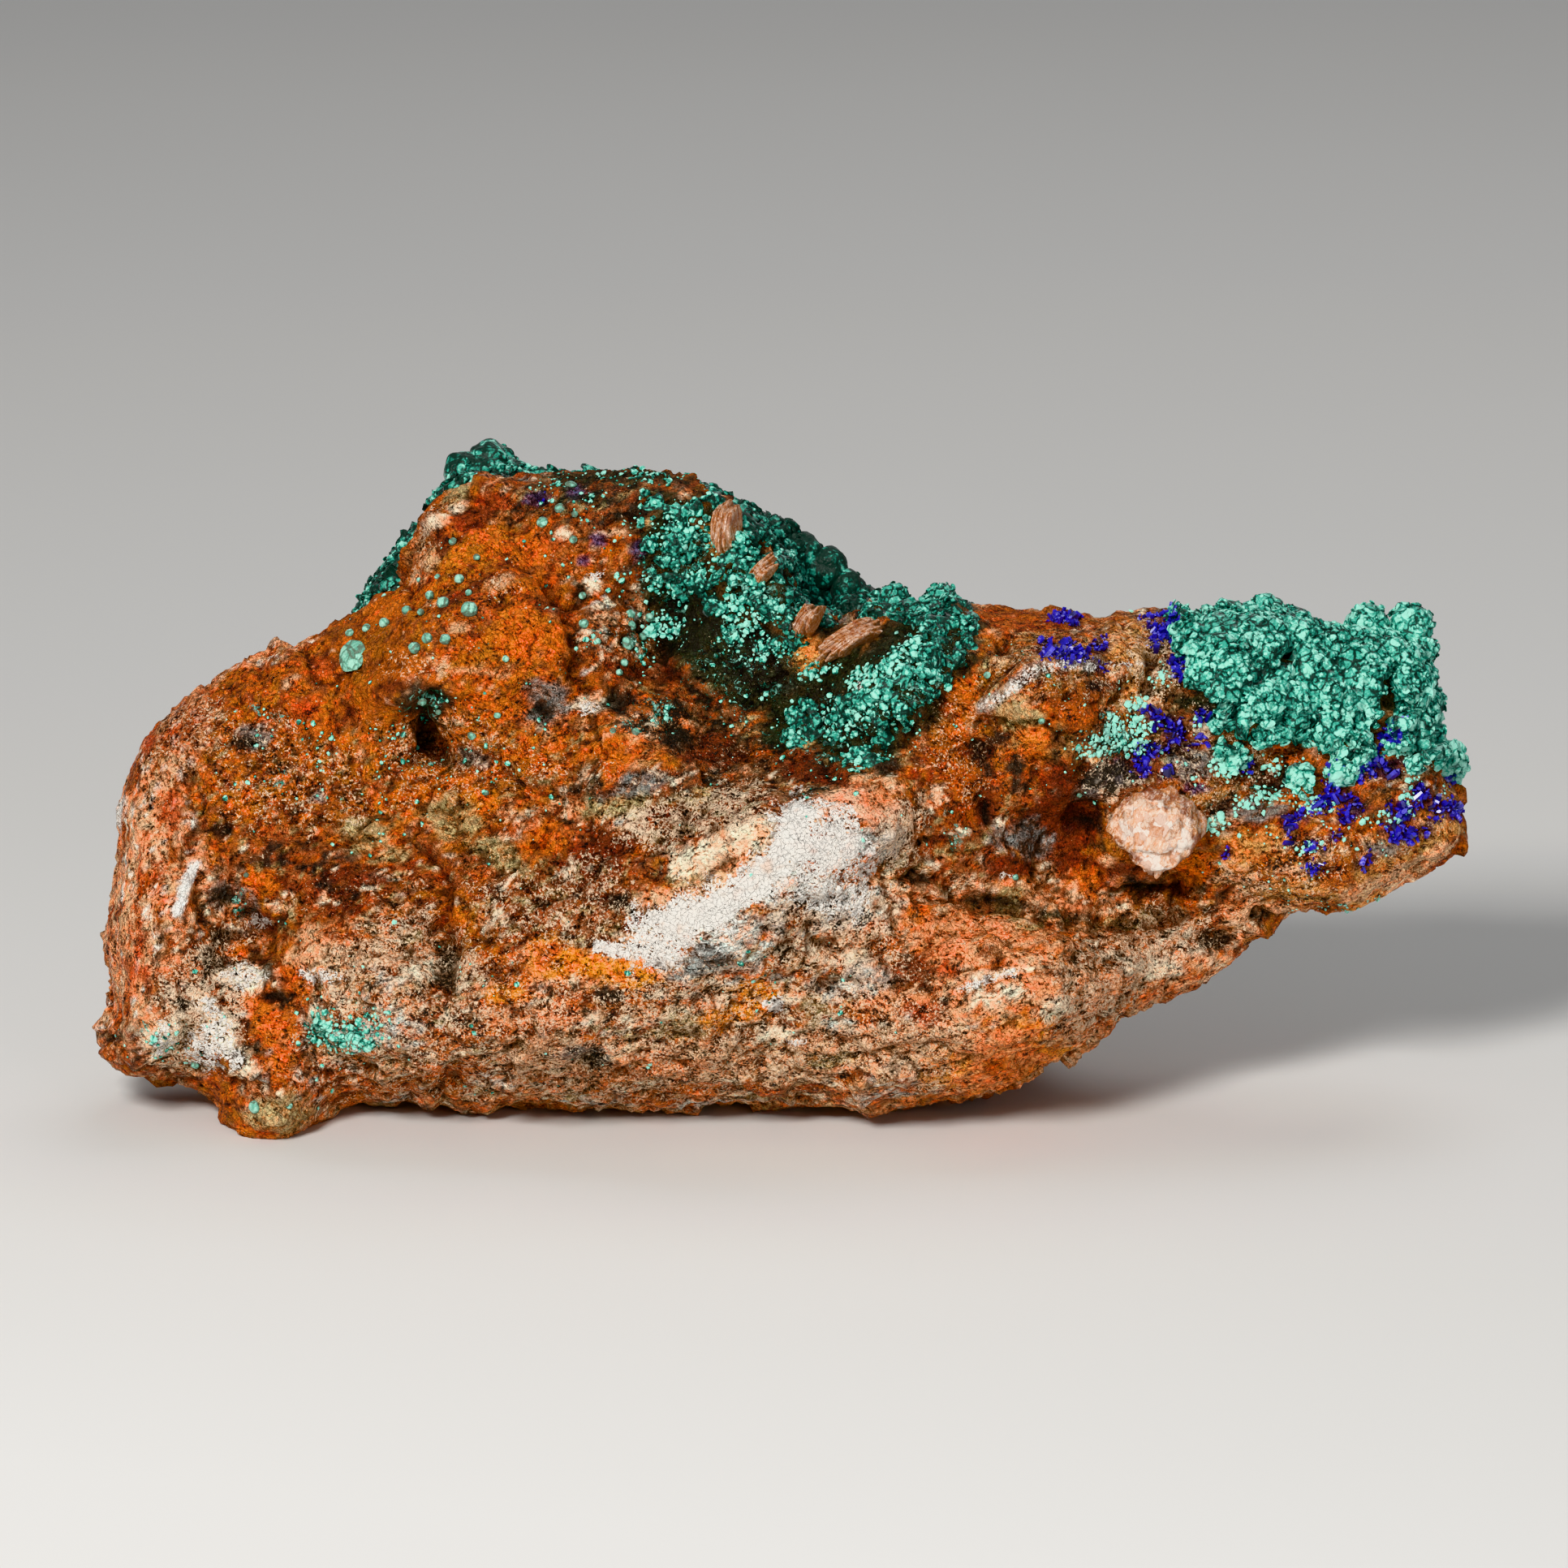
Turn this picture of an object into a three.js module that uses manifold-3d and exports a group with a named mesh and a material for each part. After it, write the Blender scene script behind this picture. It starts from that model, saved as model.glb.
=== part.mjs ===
// A hand-sized mineral specimen: a rugged, iron-stained barite stone that carries crusts of green malachite,
// clusters of blue azurite, a pale barite nodule and loose-standing barite blades.
// Millimetres, +Z up. The specimen stands on a flat trimmed foot, and the origin is under its middle.
//
// The stone is shaped in a face frame: X runs across its broad front face, Y up it and Z out of it.
// The whole face frame leans back from upright by FACE_LEAN.
import * as THREE from "three";
import { mergeVertices } from "three/addons/utils/BufferGeometryUtils.js";
import Module from "manifold-3d";

const wasm = await Module();
wasm.setup();

// ---------------------------------------------------------------- driving dimensions
const FACE_LEAN = 15; // degrees that the front face leans back
const FACE_ORIGIN = new THREE.Vector3(-0.3, -2.3, 22.1); // the face frame's origin, over the foot's middle
const CLEARANCE = 0.4; // gap between the stone and what grows on it
const CRUST_THINNEST = 0.5; // thickness of a malachite crust between its knobs
const CRUST_KNOBS = 1.7; // how far its highest knobs stand above that
const FACET = 2.8; // side of the stone's facets
const FACET_JITTER = 0.24; // share of a facet by which its corner is shifted

// The box round the stone in the face frame, with room for one more facet on every side.
const NET_LOW = [-52, -31, -30];
const NET_HIGH = [52, 29, 19];

// ---------------------------------------------------------------- outlines, [across, up] on the face
const FRONT_OUTLINE = [
  [-47.2, -18.2], [-46.3, -14], [-47, -9], [-45.7, -5], [-46.1, -2], [-45.6, 1], [-43, 4.8],
  [-38, 8], [-33, 10.4], [-28.5, 12], [-26, 14.3], [-25, 17.5], [-23.9, 21], [-18, 21.4],
  [-8, 21.2], [-4, 20], [-1.2, 17.2], [0.4, 14], [2, 10.8], [5, 11.4], [9, 12.8], [12, 12.2],
  [15.5, 11.8], [18.5, 12.4], [22, 11], [25.5, 10.9], [29, 10.8], [34, 11.2], [38, 9],
  [41.5, 10.2], [43, 9], [43.4, 5], [45.2, 1.2], [47.4, -2.4], [43.8, -6.3], [38.5, -8.3],
  [33, -9.6], [30.2, -13.6], [24.5, -15], [19, -19.2], [13.5, -21.4], [7, -22.8], [0, -21.9],
  [-9.5, -22.4], [-20, -21.8], [-31.5, -22], [-33.6, -24], [-37.2, -24.2], [-38.8, -21.2],
  [-44, -20],
];
const BACK_OUTLINE = [
  [-31, -26], [-32, -8], [-31, 4], [-29.2, 10.5], [-28, 13.5], [-25.6, 16], [-23.6, 20.8],
  [-21.6, 23], [-19.2, 21.8], [-17, 19.6], [-10, 20.3], [-4, 19.2], [0, 17], [3, 16], [4.6, 13.4],
  [8, 10.5], [14, 6], [20, 2], [21, -6], [17, -18], [13, -26],
];

// ---------------------------------------------------------------- relief, as lumps (rise > 0) and hollows
// at and half are [across, up] in the face frame, turn is degrees anticlockwise seen from the front.
const FRONT_RELIEF = [
  { name: "main swell", at: [-6, -6], half: [46, 25], turn: 10, rise: 6.5 },
  { name: "pink column on the left edge", at: [-43, -8], half: [6, 19], turn: -4, rise: 4 },
  { name: "wide bowl", at: [-25, -2], half: [19, 12], turn: 14, rise: -5.5 },
  { name: "rust shoulder", at: [-19, 10], half: [11, 8], turn: 20, rise: 3 },
  { name: "slope under the peak", at: [-21, 17], half: [7, 7], turn: 0, rise: -2 },
  { name: "dark gully", at: [-6, 8.5], half: [6, 12], turn: 26, rise: -6 },
  { name: "green shoulder", at: [-1.5, 14], half: [6, 7], turn: 30, rise: 3 },
  { name: "gully floor", at: [3, 3], half: [11, 5], turn: 15, rise: -3.6 },
  { name: "green rib", at: [8.5, 8], half: [4.5, 10], turn: -38, rise: 4 },
  { name: "white swell", at: [-2, -6.5], half: [17, 7], turn: 34, rise: 5 },
  { name: "trough beside the hump", at: [12.5, 0.5], half: [5, 8], turn: -12, rise: -3 },
  { name: "brown hump", at: [18, 6.5], half: [9, 8], turn: 0, rise: 4.5 },
  { name: "deep hollow", at: [18.4, -4.5], half: [5.6, 6], turn: 10, rise: -7 },
  { name: "hollow under the nodule", at: [25, -7.4], half: [7.5, 3.6], turn: 4, rise: -5 },
  { name: "lower lobe", at: [16, -15.5], half: [17, 8], turn: 24, rise: 5.5 },
  { name: "lower left swell", at: [-18, -16], half: [21, 7], turn: -2, rise: 3.6 },
  { name: "speckled hollow", at: [-36, -11], half: [6, 10], turn: 24, rise: -3.2 },
  { name: "lump over the foot", at: [-34, -19], half: [6, 5], turn: 0, rise: 2.5 },
  { name: "arm hollow", at: [37, 4], half: [9, 6], turn: 10, rise: -2 },
  { name: "arm mound", at: [30, 8], half: [7, 6], turn: 0, rise: 2.2 },
  { name: "arm lower ledge", at: [38, -6], half: [13, 4], turn: 12, rise: 3.4 },
  { name: "open pit", at: [-24.4, 3.2], half: [3.4, 3.6], turn: 0, rise: -5 },
  { name: "dark pit", at: [-23, -11.4], half: [3, 4.2], turn: 0, rise: -3.6 },
];
const BACK_RELIEF = [
  { name: "broad back swell", at: [-10, -6], half: [38, 26], turn: 6, rise: 5 },
  { name: "back lump", at: [-20, 6], half: [11, 9], turn: 30, rise: 4 },
  { name: "back hollow", at: [-4, 2], half: [9, 12], turn: -20, rise: -5 },
  { name: "back rib", at: [6, -8], half: [5, 14], turn: 14, rise: 4 },
  { name: "back shelf", at: [-26, -12], half: [9, 6], turn: 0, rise: 3.4 },
];

// Sharp creases of the front face: a line of [across, up] points, with its half width and depth.
const CREASES = [
  {
    name: "crease over the lower lobe",
    line: [[6, -6.2], [12, -8.6], [18, -9.6], [26, -9.2], [33, -7.6]],
    half: 2.6,
    depth: 3.6,
  },
  {
    name: "crease beside the pink column",
    line: [[-40.5, 0], [-40, -6], [-37, -10], [-34, -15], [-31, -20]],
    half: 2.2,
    depth: 2.2,
  },
  {
    name: "crack in the rust shoulder",
    line: [[-16, 13.5], [-14.3, 12], [-13, 8], [-12.4, 5]],
    half: 1.9,
    depth: 2.2,
  },
];

const FRONT_BODY = {
  outline: FRONT_OUTLINE,
  rim: 0, // Z of the body's edge
  frontSwell: 6.5,
  backSwell: 8.5,
  frontRounding: 9, // distance from the edge over which the swell is reached
  backRounding: 8,
  frontRelief: FRONT_RELIEF,
  backRelief: [{ name: "arm back hollow", at: [36, 0], half: [12, 9], turn: 0, rise: -2.4 }],
  creases: CREASES,
};
const BACK_BODY = {
  outline: BACK_OUTLINE,
  rim: -10.5,
  frontSwell: 3.5,
  backSwell: 5,
  frontRounding: 4,
  backRounding: 9,
  frontRelief: [{ name: "vug in the back ridge", at: [1.5, 13.5], half: [4.5, 4], turn: 20, rise: -4 }],
  backRelief: BACK_RELIEF,
  creases: [],
};
const BODY_BLEND = 5; // how softly the two bodies run into each other
const ROUNDING_POWER = 2.3;
const GRAINS = [
  { size: 13, rise: 1.3 },
  { size: 6, rise: 1.1 },
]; // wavelength and height of the rough break

// ---------------------------------------------------------------- small maths
const degrees = THREE.MathUtils.degToRad;
const mix = THREE.MathUtils.lerp;

// A repeatable number from 0 to 1 for any two numbers.
function scatter(a, b = 0) {
  const wave = Math.sin(a * 127.1 + b * 311.7) * 43758.5453;
  return wave - Math.floor(wave);
}

// Smooth noise from -1 to 1 that repeats at no point of the stone.
function roughness(x, y, seed) {
  const column = Math.floor(x);
  const row = Math.floor(y);
  const u = THREE.MathUtils.smoothstep(x - column, 0, 1);
  const v = THREE.MathUtils.smoothstep(y - row, 0, 1);
  const corner = (i, j) => scatter(column + i + seed * 17, row + j) * 2 - 1;
  return mix(mix(corner(0, 0), corner(1, 0), u), mix(corner(0, 1), corner(1, 1), u), v);
}

// Distance from a point to the segment a-b.
function distanceToSegment(x, y, a, b) {
  const dx = b[0] - a[0];
  const dy = b[1] - a[1];
  const share = THREE.MathUtils.clamp(((x - a[0]) * dx + (y - a[1]) * dy) / (dx * dx + dy * dy), 0, 1);
  return Math.hypot(x - a[0] - share * dx, y - a[1] - share * dy);
}

// Distance to a closed outline, positive inside it and negative outside.
function insideBy(outline, x, y) {
  let nearest = Infinity;
  let inside = false;
  outline.forEach((a, i) => {
    const b = outline[(i + 1) % outline.length];
    nearest = Math.min(nearest, distanceToSegment(x, y, a, b));
    const crosses = a[1] > y !== b[1] > y;
    if (crosses && x < a[0] + ((y - a[1]) / (b[1] - a[1])) * (b[0] - a[0])) inside = !inside;
  });
  return inside ? nearest : -nearest;
}

// ---------------------------------------------------------------- the stone as a field: positive inside it
function reliefAt(features, x, y) {
  let total = 0;
  for (const { at, half, turn, rise } of features) {
    const c = Math.cos(degrees(turn));
    const s = Math.sin(degrees(turn));
    const dx = x - at[0];
    const dy = y - at[1];
    const away = ((c * dx + s * dy) / half[0]) ** 2 + ((c * dy - s * dx) / half[1]) ** 2;
    if (away < 1) total += rise * (1 - away) ** 2;
  }
  return total;
}

function creaseAt(creases, x, y) {
  let total = 0;
  for (const { line, half, depth } of creases) {
    const legs = line.slice(1).map((end, i) => distanceToSegment(x, y, line[i], end));
    const away = Math.min(...legs) / half;
    if (away < 1) total -= depth * (1 - away);
  }
  return total;
}

function grainAt(x, y, seed) {
  return GRAINS.reduce((sum, { size, rise }) => sum + rise * roughness(x / size, y / size, seed), 0);
}

function rounding(edge, reach) {
  const share = THREE.MathUtils.clamp(edge / reach, 0, 1);
  return (1 - (1 - share) ** ROUNDING_POWER) ** (1 / ROUNDING_POWER);
}

function bodyField(body, x, y, z) {
  const edge = insideBy(body.outline, x, y);
  const frontHeight = body.frontSwell + reliefAt(body.frontRelief, x, y) + grainAt(x, y, 1);
  const backHeight = body.backSwell + reliefAt(body.backRelief, x, y) + grainAt(x, y, 2);
  const front = body.rim + rounding(edge, body.frontRounding) * (frontHeight + creaseAt(body.creases, x, y));
  const back = body.rim - rounding(edge, body.backRounding) * backHeight;
  return Math.min(edge, front - z, z - back);
}

function stoneField(point) {
  const front = bodyField(FRONT_BODY, point.x, point.y, point.z);
  const back = bodyField(BACK_BODY, point.x, point.y, point.z);
  const overlap = Math.max(BODY_BLEND - Math.abs(front - back), 0) / BODY_BLEND;
  return Math.max(front, back) + (overlap * overlap * BODY_BLEND) / 4;
}

// ---------------------------------------------------------------- solids
// A geometry with only its positions, and its shared corners merged.
function weld(geometry) {
  const bare = geometry.clone();
  bare.deleteAttribute("normal");
  bare.deleteAttribute("uv");
  return mergeVertices(bare, 1e-4);
}

function solidFrom(geometry) {
  const welded = weld(geometry);
  const vertProperties = new Float32Array(welded.attributes.position.array);
  const triVerts = new Uint32Array(welded.index.array);
  return new wasm.Manifold(new wasm.Mesh({ numProp: 3, vertProperties, triVerts }));
}

function meshFrom(name, solid, material) {
  const { vertProperties, triVerts } = solid.getMesh();
  const geometry = new THREE.BufferGeometry();
  geometry.setAttribute("position", new THREE.BufferAttribute(vertProperties, 3));
  geometry.setIndex(new THREE.BufferAttribute(triVerts, 1));
  const faceted = geometry.toNonIndexed();
  faceted.computeVertexNormals();
  const mesh = new THREE.Mesh(faceted, material);
  mesh.name = name;
  return mesh;
}

const joinAll = (solids) => solids.reduce((sum, solid) => sum.add(solid));

// The largest separate body of a solid, so that no crumb of a cut is left beside it.
function largestBody(solid) {
  return solid.decompose().reduce((best, body) => (body.volume() > best.volume() ? body : best));
}

// The corners of a cell, and the pairs of them that its twelve edges join.
const CELL_CORNERS = [0, 1, 2, 3, 4, 5, 6, 7].map((n) => [n & 1, (n >> 1) & 1, (n >> 2) & 1]);
const CELL_EDGES = [
  [0, 1], [2, 3], [4, 5], [6, 7], [0, 2], [1, 3], [4, 6], [5, 7], [0, 4], [1, 5], [2, 6], [3, 7],
];

// Where the field changes sign between a point inside the skin and one outside it.
function crossing(field, inside, outside) {
  const inner = inside.clone();
  const outer = outside.clone();
  for (let halving = 0; halving < 8; halving++) {
    const middle = inner.clone().lerp(outer, 0.5);
    (field(middle) > 0 ? inner : outer).copy(middle);
  }
  return inner;
}

// Fills every lattice square whose filled corners touch only across a diagonal: the net would pinch there.
function fillPinches(values, steps) {
  let found = true;
  while (found) {
    found = false;
    for (let here = 0; here < values.length - steps[1] - steps[2]; here++) {
      for (let axis = 0; axis < 3; axis++) {
        const across = steps[axis];
        const up = steps[(axis + 1) % 3];
        const square = [here, here + across, here + across + up, here + up];
        const [a, b, c, d] = square.map((corner) => values[corner] > 0);
        if (a !== c || b !== d || a === b) continue;
        square.forEach((corner) => (values[corner] = Math.max(values[corner], 1e-3)));
        found = true;
      }
    }
  }
}

// A closed skin round a field, as a surface net: a corner in each cell of an uneven lattice that the
// skin passes through, and a four-sided facet round each lattice edge that it crosses.
function surfaceNet(field) {
  const [nx, ny, nz] = NET_LOW.map((low, axis) => Math.ceil((NET_HIGH[axis] - low) / FACET) + 1);
  const slot = (i, j, k) => (k * ny + j) * nx + i;
  const lattice = [];
  for (let k = 0; k < nz; k++) {
    for (let j = 0; j < ny; j++) {
      for (let i = 0; i < nx; i++) {
        const place = [i, j, k].map((step, axis) => {
          const shift = (scatter(slot(i, j, k), axis) - 0.5) * 2 * FACET_JITTER;
          return NET_LOW[axis] + (step + shift) * FACET;
        });
        lattice.push(new THREE.Vector3(...place));
      }
    }
  }
  const steps = [1, nx, nx * ny];
  const values = lattice.map(field);
  fillPinches(values, steps);

  const corners = [];
  const cornerOf = new Map();
  for (let k = 0; k < nz - 1; k++) {
    for (let j = 0; j < ny - 1; j++) {
      for (let i = 0; i < nx - 1; i++) {
        const around = CELL_CORNERS.map(([a, b, c]) => slot(i + a, j + b, k + c));
        const crossed = CELL_EDGES.filter(([a, b]) => values[around[a]] > 0 !== values[around[b]] > 0);
        if (crossed.length === 0) continue;
        const corner = new THREE.Vector3();
        for (const [a, b] of crossed) {
          const [inside, outside] = values[around[a]] > 0 ? [a, b] : [b, a];
          corner.add(crossing(field, lattice[around[inside]], lattice[around[outside]]));
        }
        corner.divideScalar(crossed.length);
        cornerOf.set(slot(i, j, k), corners.length);
        corners.push(corner);
      }
    }
  }

  const facets = [];
  for (let k = 1; k < nz - 1; k++) {
    for (let j = 1; j < ny - 1; j++) {
      for (let i = 1; i < nx - 1; i++) {
        const here = slot(i, j, k);
        for (let axis = 0; axis < 3; axis++) {
          const filled = values[here] > 0;
          if (filled === values[here + steps[axis]] > 0) continue;
          const across = steps[(axis + 1) % 3];
          const up = steps[(axis + 2) % 3];
          const ring = [here, here - across, here - across - up, here - up].map((cell) => cornerOf.get(cell));
          const [a, b, c, d] = filled ? ring : ring.reverse();
          const acShorter = corners[a].distanceTo(corners[c]) < corners[b].distanceTo(corners[d]);
          facets.push(...(acShorter ? [a, b, c, a, c, d] : [a, b, d, b, c, d]));
        }
      }
    }
  }
  const net = new THREE.BufferGeometry().setFromPoints(corners);
  net.setIndex(facets);
  return net;
}

// The same skin with each corner moved out by what riseOf gives for its number.
function swollen(skin, riseOf) {
  const grown = skin.clone();
  grown.computeVertexNormals();
  const { position, normal } = grown.attributes;
  const corner = new THREE.Vector3();
  const outward = new THREE.Vector3();
  for (let i = 0; i < position.count; i++) {
    corner.fromBufferAttribute(position, i);
    corner.addScaledVector(outward.fromBufferAttribute(normal, i), riseOf(i));
    position.setXYZ(i, corner.x, corner.y, corner.z);
  }
  return grown;
}

// A slab in the face plane with a closed outline, from Z low to Z high.
function prism(outline, low, high) {
  const shape = new THREE.Shape(outline.map(([x, y]) => new THREE.Vector2(x, y)));
  const slab = new THREE.ExtrudeGeometry(shape, { depth: high - low, bevelEnabled: false });
  return solidFrom(slab.translate(0, 0, low));
}

// A rounded lump with flat facets. half is its half sizes in X, Y and Z.
function lump(centre, half, seed, detail = 1) {
  const ball = new THREE.IcosahedronGeometry(1, detail);
  ball.rotateX(scatter(seed, 3) * Math.PI);
  ball.rotateY(scatter(seed, 4) * Math.PI);
  ball.scale(...half);
  return solidFrom(ball.translate(centre.x, centre.y, centre.z));
}

// A crystal blade: a thin six-sided tablet. turn is [x, y, z] degrees, applied in that order.
function blade(centre, length, width, thickness, turn) {
  const shape = new THREE.Shape();
  const bevel = width * 0.32;
  shape.moveTo(-length / 2 + bevel, -width / 2);
  shape.lineTo(length / 2 - bevel, -width / 2);
  shape.lineTo(length / 2, 0);
  shape.lineTo(length / 2 - bevel, width / 2);
  shape.lineTo(-length / 2 + bevel, width / 2);
  shape.lineTo(-length / 2, 0);
  const tablet = new THREE.ExtrudeGeometry(shape, { depth: thickness, bevelEnabled: false });
  tablet.translate(0, 0, -thickness / 2);
  tablet.rotateX(degrees(turn[0]));
  tablet.rotateY(degrees(turn[1]));
  tablet.rotateZ(degrees(turn[2]));
  return solidFrom(tablet.translate(centre.x, centre.y, centre.z));
}

const netOfStone = surfaceNet(stoneField);
const stoneSkin = solidFrom(netOfStone);
const seatSkin = solidFrom(swollen(netOfStone, () => CLEARANCE));
const knobRise = (corner) => CLEARANCE + CRUST_THINNEST + CRUST_KNOBS * scatter(corner, 8) ** 1.5;
const crustSkin = solidFrom(swollen(netOfStone, knobRise));

// ---------------------------------------------------------------- places on the seat skin
const seatMesh = meshFrom("seat", seatSkin, new THREE.MeshBasicMaterial());
const probe = new THREE.Raycaster();
const PROBE_REACH = 60; // further out than any point of the stone

// Where a look from outside, towards aim along direction, first meets the seat skin.
function firstHit(aim, direction) {
  probe.set(aim.clone().addScaledVector(direction, -PROBE_REACH), direction);
  return probe.intersectObject(seatMesh)[0].point;
}

// The point of the front face at [across, up].
function onFace(across, up) {
  return firstHit(new THREE.Vector3(across, up, 0), new THREE.Vector3(0, 0, -1));
}

// ---------------------------------------------------------------- materials
const stoneMaterial = new THREE.MeshStandardMaterial({ color: 0xa4592e, roughness: 0.85, metalness: 0 });
const malachiteMaterial = new THREE.MeshStandardMaterial({ color: 0x2f9a78, roughness: 0.7, metalness: 0 });
const darkMalachiteMaterial = new THREE.MeshStandardMaterial({ color: 0x0f5a45, roughness: 0.5, metalness: 0 });
const azuriteMaterial = new THREE.MeshStandardMaterial({ color: 0x1b1f9c, roughness: 0.25, metalness: 0 });
const bariteMaterial = new THREE.MeshStandardMaterial({ color: 0xe0ab86, roughness: 0.6, metalness: 0 });

// ---------------------------------------------------------------- the stone
const faceFrame = new THREE.Matrix4().makeRotationX(degrees(90 - FACE_LEAN)).setPosition(FACE_ORIGIN);

// The stone with its underside cut flat, so that it stands.
function makeStone() {
  const cutSize = 160;
  const belowFloor = new THREE.BoxGeometry(cutSize, cutSize, cutSize).translate(0, 0, -cutSize / 2);
  belowFloor.applyMatrix4(faceFrame.clone().invert());
  return largestBody(stoneSkin.subtract(solidFrom(belowFloor)));
}

// ---------------------------------------------------------------- azurite clusters
// Each sits in a ball-shaped seat that the crusts leave free. at is [across, up].
const AZURITE = [
  { name: "azurite_cluster_hump", at: [19.4, 9.4], seat: 2.1 },
  { name: "azurite_cluster_notch", at: [26.4, 10.6], seat: 2.2 },
  { name: "azurite_cluster_inner", at: [26.8, 3.2], seat: 2.3 },
  { name: "azurite_cluster_ledge", at: [38.6, -0.9], seat: 2.6 },
  { name: "azurite_cluster_tip", at: [43.8, -1.9], seat: 2.5 },
  { name: "azurite_cluster_low", at: [36.4, -4.6], seat: 1.8 },
];

const AZURITE_CRYSTALS = 3;
const AZURITE_CRYSTAL = [2.1, 1.6, 1.2]; // length, width, thickness

function azuriteCluster({ at, seat }, seed) {
  const middle = onFace(...at);
  const grown = [lump(middle, [seat * 0.6, seat * 0.6, 1], seed, 0)];
  for (let i = 0; i < AZURITE_CRYSTALS; i++) {
    const angle = (i / AZURITE_CRYSTALS) * 2 * Math.PI + scatter(seed, i);
    const away = new THREE.Vector3(Math.cos(angle), Math.sin(angle), 0).multiplyScalar(seat * 0.5);
    const foot = middle.clone().add(away).setZ(middle.z + 0.5);
    const turn = [1, 2, 3].map((axis) => scatter(i, seed + axis) * 180);
    grown.push(blade(foot, ...AZURITE_CRYSTAL, turn));
  }
  return largestBody(joinAll(grown).subtract(seatSkin));
}

function azuriteSeat({ at, seat }, seed) {
  const room = seat + CLEARANCE;
  return lump(onFace(...at), [room, room, room], seed, 1);
}

// ---------------------------------------------------------------- barite crystals
const NODULE = { at: [25.5, -3], half: [3.6, 3.9, 2.6], rise: 0.4 };
const BLADES = [
  { name: "barite_blade_rib", at: [3, 9.7], size: [5.6, 2.4, 1], turn: [58, 8, 30], rise: 0.7 },
  { name: "barite_blade_shoulder", at: [-4.3, 17.2], size: [4.2, 2.6, 1.1], turn: [-30, 12, 82], rise: 0.5 },
  { name: "barite_blade_upper", at: [-1.4, 14.2], size: [3.4, 1.7, 0.9], turn: [50, -10, 44], rise: 0.6 },
  { name: "barite_blade_lower", at: [1, 11.4], size: [3.2, 2, 0.9], turn: [-40, 20, 60], rise: 0.4 },
];

function bariteBlade({ at, size, turn, rise }, room) {
  const [length, width, thickness] = size.map((side) => side + 2 * room);
  const centre = onFace(...at).add(new THREE.Vector3(0, 0, rise));
  return blade(centre, length, width, thickness, turn);
}

function bariteNodule(room) {
  const centre = onFace(...NODULE.at).add(new THREE.Vector3(0, 0, NODULE.rise));
  return lump(centre, NODULE.half.map((side) => side + room), 5, 2);
}

// ---------------------------------------------------------------- malachite
// Everything that a crust has to leave room for.
const takenRoom = joinAll([
  ...AZURITE.map(azuriteSeat),
  ...BLADES.map((one) => bariteBlade(one, CLEARANCE)),
  bariteNodule(CLEARANCE),
]);

// A knobbly crust: the stone's skin inside an outline, with taller lumps as [x, y, z, radius].
function crust({ outline, depth, lumps }) {
  const knobs = lumps.map(([x, y, z, radius], i) => {
    return lump(new THREE.Vector3(x, y, z), [radius, radius * 1.15, radius], i, 1);
  });
  const grown = joinAll([crustSkin, ...knobs]).intersect(prism(outline, ...depth));
  return largestBody(grown.subtract(seatSkin).subtract(takenRoom));
}

const CRUSTS = [
  {
    name: "malachite_crust_end",
    outline: [
      [26.2, 14], [28, 7], [30.5, 2.5], [34, 1.2], [36.5, 0.5], [40, 1.5], [43, 0], [46, -0.4],
      [50, 0], [50, 17], [26.2, 17],
    ],
    depth: [-20, 20], // lowest and highest Z
    lumps: [[33.6, 12.1, -0.5, 1.7], [31, 11.8, 0, 1.5], [40.2, 11.4, -0.5, 1.8], [43.4, 10.6, 0, 1.9]],
    material: malachiteMaterial,
  },
  {
    name: "malachite_crust_rib",
    outline: [
      [-8.6, 18.6], [-6, 21.8], [-1, 18], [1.4, 13], [3.5, 11.4], [7, 14], [12.6, 14], [12, 9], [8.6, 4.6],
      [5.6, 1.4], [1, 2], [-2.4, 4.6], [-5.2, 8.6], [-8, 12.6],
    ],
    depth: [-4, 20],
    lumps: [[7.2, 13.2, 0, 1.5], [11, 13.3, 0, 1.6]],
    material: malachiteMaterial,
  },
  {
    name: "malachite_crust_back_left",
    outline: [
      [-30.6, 8], [-30.6, 14], [-27, 18], [-25, 24], [-22, 27], [-18, 26], [-15.6, 22], [-8, 24], [-8, 15],
      [-18, 12], [-26, 8],
    ],
    depth: [-30, -6],
    lumps: [[-22.6, 22.2, -10.5, 1.7], [-20.6, 22.6, -11.5, 1.9], [-18.9, 21.6, -10.5, 1.6], [-27.6, 13.4, -11, 2]],
    material: darkMalachiteMaterial,
  },
  {
    name: "malachite_crust_back_middle",
    outline: [[-7.2, 16], [-7.2, 24], [0, 22], [7, 17], [9, 12], [6, 8], [0, 9]],
    depth: [-30, -6],
    lumps: [[2.6, 16, -10, 1.9], [-0.5, 17.2, -11, 2]],
    material: darkMalachiteMaterial,
  },
  {
    name: "malachite_patch_low",
    outline: [[-33, -15.4], [-30, -14.2], [-28, -15], [-27.6, -17.4], [-30.4, -18.6], [-32.4, -17.4]],
    depth: [-2, 20],
    lumps: [],
    material: malachiteMaterial,
  },
];

// Lone malachite balls on the rust-coloured slope, as [across, up, radius].
const BALLS = [
  [-21.5, 11.9, 0.85], [-23.8, 12.6, 0.65], [-25.6, 9.4, 0.6], [-24.1, 9.1, 0.55], [-26.2, 12.2, 0.5],
  [-29.8, 9.2, 1.1],
];
function malachiteBall([across, up, radius], index) {
  const centre = onFace(across, up).add(new THREE.Vector3(0, 0, radius * 0.4));
  const ball = lump(centre, [radius, radius, radius], index + 90, radius > 0.7 ? 1 : 0);
  return largestBody(ball.subtract(seatSkin));
}

// ---------------------------------------------------------------- the specimen
const specimen = new THREE.Group();
specimen.applyMatrix4(faceFrame);

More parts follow.
